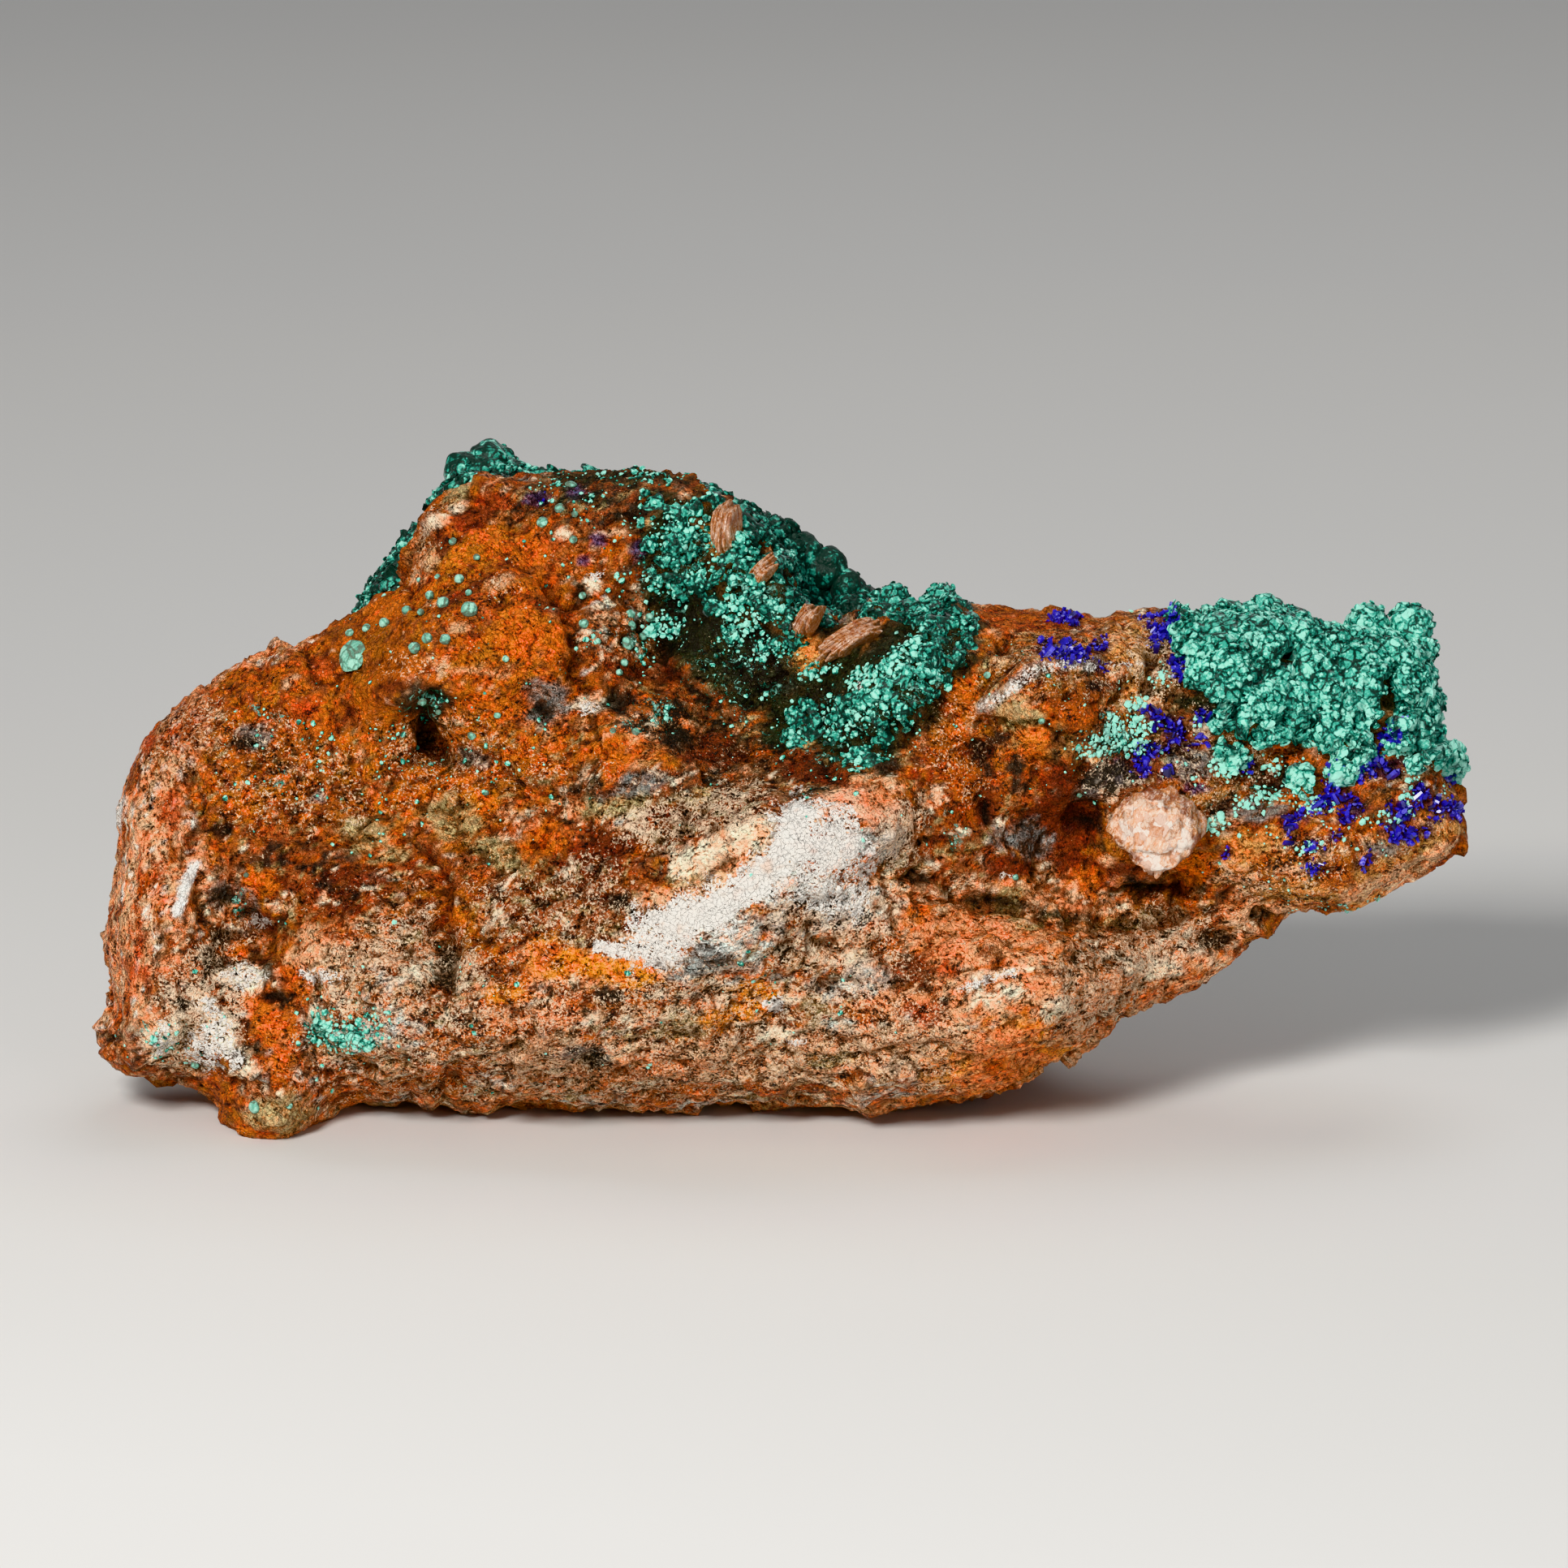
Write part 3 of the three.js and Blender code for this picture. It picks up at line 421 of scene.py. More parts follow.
# Then single places, painted in this order: (mineral, raggedness, strength, [places]).
FACE_MINERALS = [
    ("peach", 0.5, 0.85, [(-16, -12, 2.4, 1), (9.6, 11.6, 1.8, 0.8), (33, -9.4, 2.4, 0.8, 10), (41.2, 5.8, 1, 2.2)]),
    ("rust", 0.6, 0.6, [(-42.4, 3.6, 2.4, 3.2)]),
    ("tan", 0.7, 0.75, [
        (-24.7, 15.8, 0.9, 1.2), (-19.3, 13.7, 1, 0.6), (-22.2, 10.7, 0.7, 0.5), (-24.7, 8.2, 1.5, 0.4, 8),
        (-25.4, 7.4, 1, 0.4), (-41.2, -17.6, 2.4, 2), (-20.6, 8, 2.4, 0.3),
    ]),
    # the first spot brightens the downward-facing low lobe: its orange with painted light
    ("orange", 0.5, 0.8, [
        (15, -18.4, 3.6, 2.6, 20), (11, -19.6, 2.4, 1), (-16, -12.2, 2.4, 1.3, -8), (-18.4, -14, 1.6, 0.8),
    ]),
    # the stroke along the bottom edge lightens the downward-facing band: its peach with painted light
    ("peach", 0.7, 0.7, [([(-18, -18.6), (-10, -18.8), (4, -18.6), (12, -17.6)], 1.6), (-30, -12, 4, 1.2)]),
    # the spot at (15, -18.4) brightens the downward-facing low lobe: its salmon with painted light
    ("salmon", 0.45, 0.9, [
        (14.6, -10, 4.6, 1.5, -6), (11, -11.4, 2.6, 1.2), (15, -18.4, 2.6, 2.2), (20.6, -14.6, 4, 1.2, 20),
        (-17, -15.6, 3, 0.9), (8, -15, 3, 1), (26.8, -12.4, 2.4, 1), (-36.6, -14.8, 1.2, 0.8), (13.5, -20.4, 2, 0.8),
        (-8.6, -19.4, 3.4, 0.8), (-41, -12.4, 1.4, 1),
    ]),
    ("pink", 0.5, 0.92, [(5.6, -1.5, 2.4, 1.5, -10), (3.6, -1.4, 1, 1)]),
    ("salmon", 0.6, 0.7, [(6.6, -1.0, 1.3, 0.8, -10)]),
    ("rust", 0.4, 0.9, [(16.4, 11.4, 3.6, 1.0, -4), (12.6, 0.6, 2.2, 3.2), (19.6, 5, 2.4, 1.4, 10)]),
    ("amber", 0.5, 0.85, [
        (31.4, -4.2, 2.2, 1.2, 20), (35, -6.8, 3, 1.0, 10), (42, -6.2, 5, 0.7, 34), (17.6, 2.6, 2, 1),
        (24.2, 9.4, 1.6, 1.4), (28.2, -0.6, 1.8, 0.7),
    ]),
    ("red", 0.5, 0.8, [
        (-41.8, -1.8, 1, 1.2), (-44.5, -12.6, 1.5, 0.7), (-33, 5, 1, 0.8), (-32, 8, 1, 0.7), (-44, 3, 0.9, 0.8),
        (-21.5, 18, 1.1, 0.8), (-20, 19.5, 1.2, 0.6), (-16, -11.7, 1.4, 0.7), (9.5, -15.6, 1.4, 0.9),
        (11, -12.6, 1.1, 0.5), (-8.4, -16.8, 0.9, 0.5), (-25, 7.6, 1.4, 0.6),
    ]),
    # deep red: hematite, with painted shade in the hollows where it lies
    ("deep_red", 0.4, 0.95, [
        (19, -2.6, 3, 3.2, 10), (21.6, -5.6, 2.4, 1.4, -20), (26, -7.3, 2.4, 0.6), (-12.2, -4.6, 2.2, 1, 12),
        (15.4, -5.8, 1.6, 1.2), (18.6, 0.4, 1.6, 0.8), (13.8, -1.6, 0.7, 1.3), (-29, -6.2, 2.2, 0.6, -8),
    ]),
    ("rust_orange", 0.5, 0.85, [
        (-17.2, 13, 1.3, 1.1), (-27.6, 12, 2, 1, 30), (-17, 10.4, 2.4, 1), (-18.4, 16.2, 2.2, 0.8, -10),
        (-20.6, 5.6, 2, 0.7), (11.6, 2.2, 1.1, 2.2), (17, 3.4, 1.1, 2.4), (21, -6.4, 1.4, 1), (-12, 1.6, 3, 0.8),
        (-18, 1.4, 2.4, 0.8), (-24.6, -0.4, 3, 0.6), (12, 6, 1.2, 2.4, 20), (27.6, 0.8, 1.6, 0.9),
    ]),
    # deep red round hollows and cracks: hematite, with painted shade in them
    ("deep_red", 0.5, 0.85, [
        (-21, 18.2, 1.5, 0.9, 20), (-26.4, 6.6, 1.4, 0.5), (-16.4, 12.2, 1.6, 0.4, -20), (-23.6, 16.8, 0.5, 0.9),
        (22, 6.6, 1.8, 0.5, -10), (-24.6, 2.2, 1.5, 0.9), (-22.6, 13, 1.6, 0.4, 30), (26.6, -7.7, 2.2, 0.4),
        (-8, 9, 1, 2, -10), (-10.4, 7.6, 1.6, 0.6), (-5, 2.4, 2.4, 0.8), (2, 0.8, 2.4, 0.7), (8.6, -12.6, 2.4, 0.7, 10),
    ]),
    ("ochre", 0.5, 0.85, [(-19.4, 17.4, 1.2, 0.6), (-20.6, 8.6, 2.2, 0.6), (-27.6, 9, 0.9, 0.6), (22.4, -4.6, 1.3, 1)]),
    ("amber", 0.5, 0.85, [
        ([(39.6, -6.4), (43, -5.2), (46.4, -3.0)], 0.6), (33, -3.6, 2.6, 0.5, 12), (37, -7.4, 3, 0.5, 12),
    ]),
    ("peach", 0.5, 0.85, [
        (-15.2, 17.3, 0.8, 0.4), (-11.6, 17.4, 1.2, 0.4), (12.9, 9.4, 0.5, 0.9, -20), (-12.4, 11.4, 0.8, 0.5),
        ([(38.6, -7.6), (42, -6.6), (45.6, -4.4)], 0.5), (31, -6.8, 2, 0.5, 10), (35.6, -5.4, 1.6, 0.3, 10),
        (1.4, 10.8, 1.2, 0.8, -30), (22, -5.2, 0.6, 0.4),
    ]),
    ("orange", 0.5, 0.95, [
        (-9.9, -12.9, 1.9, 1.1, -10), (-13.2, -12.6, 2.6, 1.3, 8), (-2.4, -15.2, 2, 1.3, 5), (-4.6, -16.2, 1, 0.8),
    ]),
    ("rust_orange", 0.45, 0.9, [
        (-34.6, -16.6, 1.6, 3, 20), (-33.5, -13.6, 0.9, 1.8, 30), (-37.8, -11.2, 1.2, 0.9), (-30, -21, 3.4, 0.9),
        (-9.5, 5.3, 0.8, 1.2), (-23, 3, 1, 0.6), (-19, -12.6, 1.6, 0.8), (7, -11, 1, 0.6), (5, -20.3, 1.4, 0.5),
        (14.6, -19.6, 1.2, 0.7), (38, -3.4, 1.2, 0.7), (37.8, -6.4, 1.4, 0.8), (28, -5.6, 1.3, 1), (35, 1.8, 1.8, 0.8),
        (41.2, 1.8, 0.9, 0.4), (-17, 9.6, 2.4, 1.4, 20), (-26, 8.2, 1.6, 1), (-23, -19.8, 2.2, 0.7),
        (-3, -13, 2, 0.5, 10), (-15.6, -3.4, 2, 1), (-36, -7, 1.2, 1),
    ]),
    ("khaki", 0.45, 0.9, [
        (-23.2, -2.2, 2.1, 1.3, -20), (-19.2, -4.8, 2, 1.1, -15), (-29, -3.5, 2.2, 1), (-22.5, 20.2, 0.9, 1.2),
        (-5.6, -6.2, 2.2, 0.9, 14), (16, 4.4, 1.4, 0.9), (-35, -22.6, 2.6, 1.2), (1.8, -15.2, 1.2, 1),
        (-7, -16.6, 2, 0.6), (-26.6, -5, 1.2, 0.5), (17, -9.2, 4, 0.5, -6), (-11.5, -1.2, 2.2, 1, 10), (3, -19, 2, 0.6),
        (24, -9.4, 3, 0.4),
    ]),
    ("cream", 0.5, 0.85, [
        ([(-7, -5.4), (-5, -4.6), (-3.4, -4), (-1.6, -3)], 1.0), (-43, -17.6, 1.2, 1.5), (-37, -13.3, 1.6, 1),
        ([(-40, -14.5), (-38.6, -17), (-37, -19.5)], 0.7), (-24.1, 17.9, 0.8, 0.6), (-22.5, 19, 0.6, 0.4),
        (-13.3, 5.2, 1.5, 0.6), (-15.2, 17.3, 0.7, 0.5), (-13.4, 13.7, 0.9, 0.4), (0.6, 11, 0.9, 0.7),
        (-24, -13, 2.6, 0.6, -4), (25, -12.6, 2, 0.8), (18.6, -15.4, 2, 0.6, 20), (-41.6, -16.4, 1.2, 0.5),
        (43.6, 1.4, 0.8, 0.5), (13.4, -13.1, 1.4, 0.3, 10), (16, -12.6, 1.2, 0.25, 10), (-0.4, -17.2, 1.6, 0.5),
    ]),
    ("peach", 0.6, 0.8, [
        ([(-9.4, -8), (-6, -7.4), (-2.6, -5)], 0.8), (-1.6, -5.4, 1.2, 1), (3, -2.2, 1.6, 1), (-8, -10, 2.4, 1, 20),
    ]),
    ("pink", 0.5, 0.9, [(3.8, -1.8, 1.6, 1.2, -10)]),
    ("white", 0.3, 0.95, [([(-40.4, -5.6), (-41.5, -8.7)], 0.38)]),
    ("white_grey", 0.9, 0.6, [([(13.4, 5.2), (15.2, 6.3), (16.6, 7.6), (19, 8.3), (21, 8)], 0.35)]),
    ("white_grey", 0.6, 0.8, [
        (3, -7.6, 4, 1.3, -4), (-3.4, -9.8, 3, 1.3, 14), (6.6, -4.2, 1.8, 1.2, -20), (-45.6, -2, 0.6, 1.4),
        (-5, -12.4, 3, 0.9), (4, -13.4, 3, 0.9),
    ]),
    ("grey", 0.55, 0.85, [
        (-36, 3.6, 1.5, 0.9), (-16.2, 6.4, 1.3, 0.7), (-16.7, 4.6, 0.9, 0.6), (-15.3, 5.2, 0.6, 0.8), (-32, -0.8, 0.6),
        (-10.4, 0, 2, 0.7, 10), (-3, 8, 1.4, 1.3), (0, 6.6, 2.2, 1), (7, 7, 1.2, 0.8), (-21.3, 1.8, 1, 0.6),
        (28, 1.6, 2, 0.9), (16.6, -3.7, 1.6, 1.3), (14.8, -3.7, 0.8), (-13, -18.4, 1.6, 0.8), (32, -1.8, 2, 0.6),
        (-6, -12, 2.2, 0.7, 20), (41, -4.4, 1.6, 0.7),
    ]),
    ("violet", 0.6, 0.8, [
        (-12.5, 16.7, 0.6), (-13.6, 15.5, 0.5), (-10, 16, 0.6), (-8.8, 15.3, 0.5), (-17, 19.6, 0.8, 0.4),
        (-14.4, 20, 0.6, 0.4), (23, 0.8, 1.2, 0.6), (31.6, 5.8, 0.6), (28.2, -0.4, 0.9, 0.4),
    ]),
    ("grey", 0.7, 0.7, [(22, 0.4, 2, 1.1, 8), (20.8, -0.6, 1, 0.7), (-38.2, -7.6, 1.2, 0.8), (-36.6, -8.6, 0.8, 0.7)]),
    # black: manganese specks, and painted shade in the cracks and pits at the places of CRACKS and HOLLOWS
    ("black", 0.7, 0.8, [
        ([(12.4, -7.6), (15, -8.0), (18, -8.8), (20.8, -9.2)], 0.35), (15, 9.4, 0.5, 0.3, 30), (18.6, 2.6, 0.7, 1.1),
        (20.8, 2.9, 1.2, 0.4), (-10, 4.1, 1.0, 0.3), (-7.4, 3, 1.2, 0.8), (21, 6.6, 1.4, 0.3),
        (-35.7, -12.4, 0.5, 1.3, 30), (-35, -14.4, 1.1, 0.5, -10), (24.8, -6.9, 1.4, 0.5), (28.8, -7.2, 0.4, 0.3),
        (21.6, -3.4, 0.4, 1.6, 8), (31, 1.2, 1.6, 0.4), (34, 0.4, 1.6, 0.5), (39.8, 3, 0.8, 0.6), (43.6, 2.4, 0.6, 1),
        (29.6, 5, 1.4, 1),
    ]),
    # black, many at the places of HOLLOWS: manganese, and painted shade in the pits and holes
    ("black", 0.45, 0.92, [
        (-24.4, 5.5, 1.8, 1.4), (-24.7, 3.2, 0.9, 1.1), (-38.5, -7.8, 0.9, 0.5), (-39.3, -12.2, 0.6, 1.2),
        (-38.8, -10.5, 0.5, 0.6), (-34.8, -14.7, 1.2, 0.6), (-37.4, -18.7, 0.6, 0.8), (-41, -15.2, 0.7, 0.5),
        (-38.7, -3.2, 1.1, 0.4), (-33.3, -2, 0.7, 0.4), (-37, 2.8, 0.8, 0.4), (-23, -12.4, 0.7, 1.7, 10),
        (-13, -18.8, 1, 0.5), (-12, -14.3, 1.2, 0.5), (-4, -12, 0.9, 0.3, 10), (0.2, -11.2, 0.8, 0.4),
        (9, -6.4, 1, 0.4), (-11.2, 5.6, 1.3, 0.6, 10), (13.2, 2.2, 0.8, 0.7), (14.6, 3.2, 0.8, 0.5),
        (15.8, 1.2, 0.8, 0.7), (14, 1, 0.5), (16.2, -0.2, 0.8, 0.5), (-14, 13, 0.5, 0.7), (-46.2, -17.4, 0.8, 0.6),
        (32.8, -9.2, 0.9, 0.5), (29.8, -11, 1.2, 0.8), (24.6, -7.2, 1.6, 0.4), (20.6, -2.3, 0.8, 0.4),
        (13.8, -1.8, 0.3, 0.9), (-16.6, 5, 0.8, 0.5), (7, 1, 1, 0.6),
    ]),
    # green-black in the gully between the ridges: the dark ground under the malachite, with painted shade of the deep
    # gully
    ("green_black", 0.8, 0.9, [
        (
            (-9.6, 19.6), (-2, 18.6), (1.6, 12), (6, 11.4), (12.4, 13.4), (13.4, 9), (10.6, 4.4), (7, 1.4), (-0.6, 3),
            (-4.6, 6.4), (-8.4, 8.6), (-10.2, 13),
        ),
    ]),
    ("amber", 0.5, 0.85, [
        (-4.2, 16.8, 1.2, 1.8), (3.4, 9.6, 2.6, 0.9, 28), (10.9, 10.6, 0.5, 0.8), (-1, 13.4, 1.4, 0.5, -30),
    ]),
    ("green_black", 0.6, 0.8, [(-12, 21, 5, 0.8, -2), (-7.4, 19.8, 2.6, 1.2, -20), (-13.6, 19.4, 1.6, 0.5)]),
    # green-black spots, most of them in the gully: dark ground with painted shade of the deep gully
    ("green_black", 0.5, 0.95, [
        (-6, 11, 2.2, 3.6, 24), (-6.4, 13.2, 1.8, 1.2), (-2.6, 8.6, 1.6, 1.3), (2, 14.4, 2.6, 2.8, -30),
        (4, 7.4, 4.4, 1.6, 24), (-1.4, 5.6, 3.6, 1.4, -30), (8.6, 9.6, 2.6, 3.6, -35), (36, 8, 9, 5),
        (-7.6, 16.6, 1.6, 2, 20), (-1.6, 13.6, 1.6, 3.4, 20), (5.4, 4.6, 3.4, 1.6, 20),
    ]),
]
# Grains that are finer than the mesh: how thick they lie, and where. Where rows overlap, the thickest counts.
PALE_GRAINS = [
    (1.0, [
        (-6.6, -2.6, 5, 2.7, 14), (-40, -16, 3, 3.4, 20), (2.4, -8.4, 5, 2), (8, -3.6, 2, 2.4), (22, 0.4, 2.2, 1.3),
    ]),
    (0.72, [(-15, -8.4, 7, 3, -10), ([(-30, -17), (-10, -17.6), (8, -17.4)], 5)]),
    (0.85, [
        (4, -12, 6, 2.6), (-7, -14.4, 6, 2), (-24, -12, 8, 2.6), (24, -12.6, 8, 3.6, 14), (-39, -13, 3, 4),
        (-41.4, -17.4, 3, 2.4), (25.5, 8.6, 2.2, 3),
    ]),
    (0.6, [
        (36, -5.4, 6, 2, 10), (30, 1.4, 6, 4), (19, 7.6, 6, 3.6), (-34, 0, 6, 4, -20), (-25, 8, 2.4, 1.2),
        (-21, 1.6, 8, 2.4, 6), (-19, 13.6, 1.4, 1.2), (-24.6, 17, 1.2, 2.4, -20), (12, 3, 2.4, 4), (-40, 3, 4, 3),
    ]),
    (0.4, [
        (-29, -7.4, 5, 1.6, -6), (-44, -4, 2, 8), (-11.4, 10.4, 3.4, 2.6), (14.6, -10, 5, 2), (43, -5, 5, 1.6, 30),
        (-6, 1, 8, 2.4),
    ]),
    (0.15, [(-16, 19.6, 5, 1.8), (-23, 12, 9, 5, 20), (-32, 2, 8, 5)]),
]
DARK_GRAINS = [
    (1.2, [
        (22, 0.2, 2.2, 1.2), (23, 2.6, 3, 1.8), (-1.6, 8, 3, 2.4), (-8.4, 4.4, 2.4, 1.6), (3.4, 5, 3.4, 2),
        (-6.4, 11.4, 2, 3),
    ]),
    (0.7, [
        (2, -8.6, 5.4, 2, 6), (34, -5.4, 7, 2, 10), (-6, -13, 6, 1.8, 8), (-14.6, 19.6, 6, 1.8, -5), (-11, 10, 3.4, 3),
        (14.8, 1.4, 2.4, 2.4), (-24, 5, 2.8, 2), (-36.4, 3, 3, 1.4), (-2, 2.4, 8, 2.6), (-38.6, -12, 1.6, 5, 20),
    ]),
    (0.6, [
        ([(-34, -17), (-14, -18.4), (8, -17.8)], 4.4), (12, -14, 5, 3), (-16, 5.4, 4, 2.4), (22, 2.6, 5, 3.4),
        (16.4, -4.4, 3, 2), (33, 0.4, 5, 2.4), (-14, -15, 7, 1.4), (6, -13.4, 6, 3), (41, 0.6, 6, 2.4), (17, 9, 5, 2.4),
        (-30, -12.6, 5, 1.6),
    ]),
    (0.5, [(20, -14, 9, 4, 18)]),
    (0.35, [(-27, 10, 9, 4, 24), (-43.4, -6, 2.4, 9), (36, -5.6, 7, 2, 10), (3, -4.4, 4, 2.6, 10)]),
]
GREEN_GRAINS = [
    (0.95, [
        (-30.2, -17, 2.7, 1.5, -14), (1.4, 4.3, 2.6, 1.5, -10), (5.4, 5, 2.2, 1.2, 30), (5.4, 2, 1.8, 0.6),
        (9, 7.4, 2, 2.6, -30), (-7, 16, 2.2, 2.2), (-1.6, 14, 1.8, 3.6, 20), (-24.4, 5.6, 1.6, 1),
        (-34.8, 0.4, 0.9, 0.9), (-34.8, 4.6, 0.7, 0.5), (11.8, -3.5, 0.8, 1.4), (-8.3, 4.9, 0.9, 1.2),
        (-10.4, 9.8, 1, 0.8), (22.6, 3.2, 2, 1.6), (-24.7, 1.4, 0.9, 0.35), (29.6, -2.6, 1, 0.8), (33, -0.8, 1.8, 0.9),
        (-36.3, 5, 0.9, 0.6), (-37.4, -8.2, 0.9, 1.1), (-30.2, -16.6, 3.2, 1.8, -24), (-43.8, -16.6, 0.7, 0.9),
    ]),
    (0.8, [
        (-3, 8, 5, 4, 14), (4, 5, 6, 3, 14), (-8, 14, 3, 4.4), (-1, 14, 3, 4, 20), (10.4, 10, 2.4, 3.4, -20),
        (-9, 4.6, 2, 2),
    ]),
    (0.6, [
        (-11, 10.4, 3.4, 2.4), (-14.6, 19.8, 4.6, 1.5, -6), (-4, 8, 5, 4, 20), (2, 5, 7, 3.4, 10), (-41, -17.4, 3, 1.8),
        (-24, 4, 3, 2.4), (-16.6, 5.6, 2.4, 1.4), (31, 0.6, 5, 2.6), (40, 0, 6, 2.6), (8, 3.6, 3.4, 2.4),
        (22, 2.6, 3.4, 3),
    ]),
    (0.3, [
        (-23, 10, 8, 5, 20), (-20, 1.4, 8, 4, 6), (-33, 2, 7, 4), (-18, -5, 6, 3), (18, 4, 5, 4), (-26, -16.4, 6, 3),
        (36, -4, 8, 3), (-6, 1, 8, 3),
    ]),
]
# Clean white barite: how thick it lies, and where.
WHITE = [
    (0.70, [
        (
            (-10.4, -9.6), (-9, -8), (-5.4, -8), (-4.2, -7.2), (-3, -5), (-1.3, -4), (-0.5, -1.2), (0.6, -0.4),
            (1.8, -0.9), (2.2, -2.4), (5, -3), (6.4, -4.6), (4.6, -5.4), (1.6, -6.4), (-1, -7.6), (-3.6, -8.8),
            (-5.4, -10.6), (-8, -12.2), (-9.6, -12.2),
        ),
        ([(-12.6, -11.2), (-11, -11.4), (-9.4, -11.4)], 0.55), (-0.6, -15, 0.8, 0.7),
    ]),
    (1.0, [
        ([(-7.6, -9.2), (-4.8, -8.6), (-2, -6.8), (0.2, -4.4), (1, -2)], 0.9), ([(1, -4.6), (4.6, -4.4)], 0.8),
        ([(-40.4, -5.6), (-41.5, -8.7)], 0.36),
    ]),
    (0.5, [([(13.4, 5.2), (15.2, 6.3), (16.6, 7.6), (19, 8.3), (21, 8)], 0.45), ([(22, 8.3), (25.2, 8.2)], 0.25)]),
    (0.58, [
        (-7, -9.4, 4, 2.6, 30), (2.4, -4.4, 4.4, 3, -10), (3, -7.4, 4, 1.4), (-37, -13.2, 1.5, 1.1),
        (-42.8, -17.2, 1, 1.6), ([(-39.6, -15), (-38.6, -17), (-37.6, -19)], 0.8), (-36, -9.4, 0.8, 0.7),
        (-45.6, -2, 0.5, 1.4), (-39.4, -17.8, 1.6, 2.2), (-31.6, -13, 1.6, 0.6), (15.2, -6.2, 0.6, 0.4),
        ([(12, -13.9), (14, -13.2), (15.8, -12.8)], 0.4), (-13.2, 5.2, 0.9, 0.6), (-13, 14.2, 0.9, 0.4),
        (0.6, 11, 0.7, 0.6), (0.6, -17.6, 1.2, 0.4), (5.2, 6.6, 0.5),
    ]),
]
# dark colour painted on the stone under the azurite crystals, showing in the gaps between them
AZURITE_GROUND = (0.035, 0.022, 0.045)  # the dark ground under azurite


# -------- building meshes from arrays
def new_object(name, data, material=None):
    made = bpy.data.objects.new(name, data)
    bpy.context.scene.collection.objects.link(made)
    if material:
        data.materials.clear()
        data.materials.append(material)
    return made


def mesh_of(name, points, faces):
    """A smooth mesh from points in millimetres and faces of three or four corners each."""
    mesh = bpy.data.meshes.new(name)
    faces = np.asarray(faces)
    corners = faces.shape[1]
    mesh.vertices.add(len(points))
    mesh.vertices.foreach_set("co", (np.asarray(points) * MM).ravel())
    mesh.loops.add(faces.size)
    mesh.loops.foreach_set("vertex_index", faces.ravel().astype(np.int32))
    mesh.polygons.add(len(faces))
    mesh.polygons.foreach_set("loop_start", np.arange(0, faces.size, corners, dtype=np.int32))
    mesh.update(calc_edges=True)
    mesh.polygons.foreach_set("use_smooth", np.full(len(faces), True))
    return mesh


def give_colours(mesh, name, *channels):
    """Stores a colour at each point, from one array for each of its parts."""
    full = np.ones((len(mesh.vertices), 4))
    full[:, :3] = np.stack(channels, 1)
    mesh.attributes.new(name, "FLOAT_COLOR", "POINT").data.foreach_set("color", full.ravel())


def give_numbers(mesh, name, values):
    """Stores a number at each point. Points past the end of the values get 0."""
    full = np.zeros(len(mesh.vertices))
    full[: len(values)] = values
    mesh.attributes.new(name, "FLOAT", "POINT").data.foreach_set("value", full)


def arrays_of(work):
    """The points and faces of a bmesh, which is freed."""
    points = np.array([v.co for v in work.verts])
    faces = np.array([[v.index for v in f.verts] for f in work.faces])
    work.free()
    return points, faces


def evaluated_mesh(made):
    """The mesh that the object's modifiers make, with its attributes and materials."""
    graph = bpy.context.evaluated_depsgraph_get()
    return bpy.data.meshes.new_from_object(
        made.evaluated_get(graph), preserve_all_data_layers=True, depsgraph=graph
    )


def remeshed(source, name, voxel):
    """A closed, even mesh of squares over a merged copy of a CAD node."""
    work = bmesh.new()
    work.from_mesh(source.data)
    bmesh.ops.remove_doubles(work, verts=work.verts, dist=1e-6)
    copy = bpy.data.meshes.new(name + "_copy")
    work.to_mesh(copy)
    work.free()
    made = new_object(name + "_copy", copy)
    modifier = made.modifiers.new("even squares", "REMESH")
    modifier.mode = "VOXEL"
    modifier.voxel_size = voxel
    result = evaluated_mesh(made)
    bpy.data.objects.remove(made)
    bpy.data.meshes.remove(copy)
    return result


def finish_piece(made, slot, *nodes):
    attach(made, "root")
    if nodes:
        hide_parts(*nodes)


# -------- node trees written as expressions
class Wire:
    """An output socket; sums on it add Math nodes."""

    def __init__(self, tree, node, output):
        self.tree, self.node, self.socket = tree, node, node.outputs[output]

    def also(self, output):
        return Wire(self.tree, self.node, output)

    def maths(self, operation, *values):
        return self.tree.node("ShaderNodeMath", dict(enumerate(values)), operation=operation)

    def __add__(self, other):
        return self.maths("ADD", self, other)

    def __radd__(self, other):
        return self.maths("ADD", other, self)

    def __sub__(self, other):
        return self.maths("SUBTRACT", self, other)

    def __rsub__(self, other):
        return self.maths("SUBTRACT", other, self)

    def __mul__(self, other):
        return self.maths("MULTIPLY", self, other)

    def __rmul__(self, other):
        return self.maths("MULTIPLY", other, self)

    def between(self, low, high):
        """0 up to low, 1 from high on, smooth in between."""
        return self.tree.node(
            "ShaderNodeMapRange", {0: self, 1: low, 2: high}, interpolation_type="SMOOTHSTEP"
        )


class Tree:
    """Adds nodes to a node tree."""

    def __init__(self, nodes):
        self.nodes, self.links = nodes.nodes, nodes.links

    def node(self, kind, sockets=None, output=0, **settings):
        """Adds a node with these settings and values or wires in its sockets: the wire from one output."""
        made = self.nodes.new(kind)
        for setting, value in settings.items():
            setattr(made, setting, value)
        for key, value in (sockets or {}).items():
            socket = made.inputs[key]
            if isinstance(value, Wire):
                self.links.new(value.socket, socket)
            else:
                socket.default_value = value
        return Wire(self, made, output) if len(made.outputs) else made

    def scaled(self, vector, amount):
        """A vector times a number, or a colour made lighter or darker by it."""
        return self.node("ShaderNodeVectorMath", {0: vector, "Scale": amount}, operation="SCALE")

    def join(self, first, second):
        """Both geometries in one."""
        joined = self.node("GeometryNodeJoinGeometry")
        for part in (first, second):
            self.links.new(part.socket, joined.node.inputs[0])
        return joined


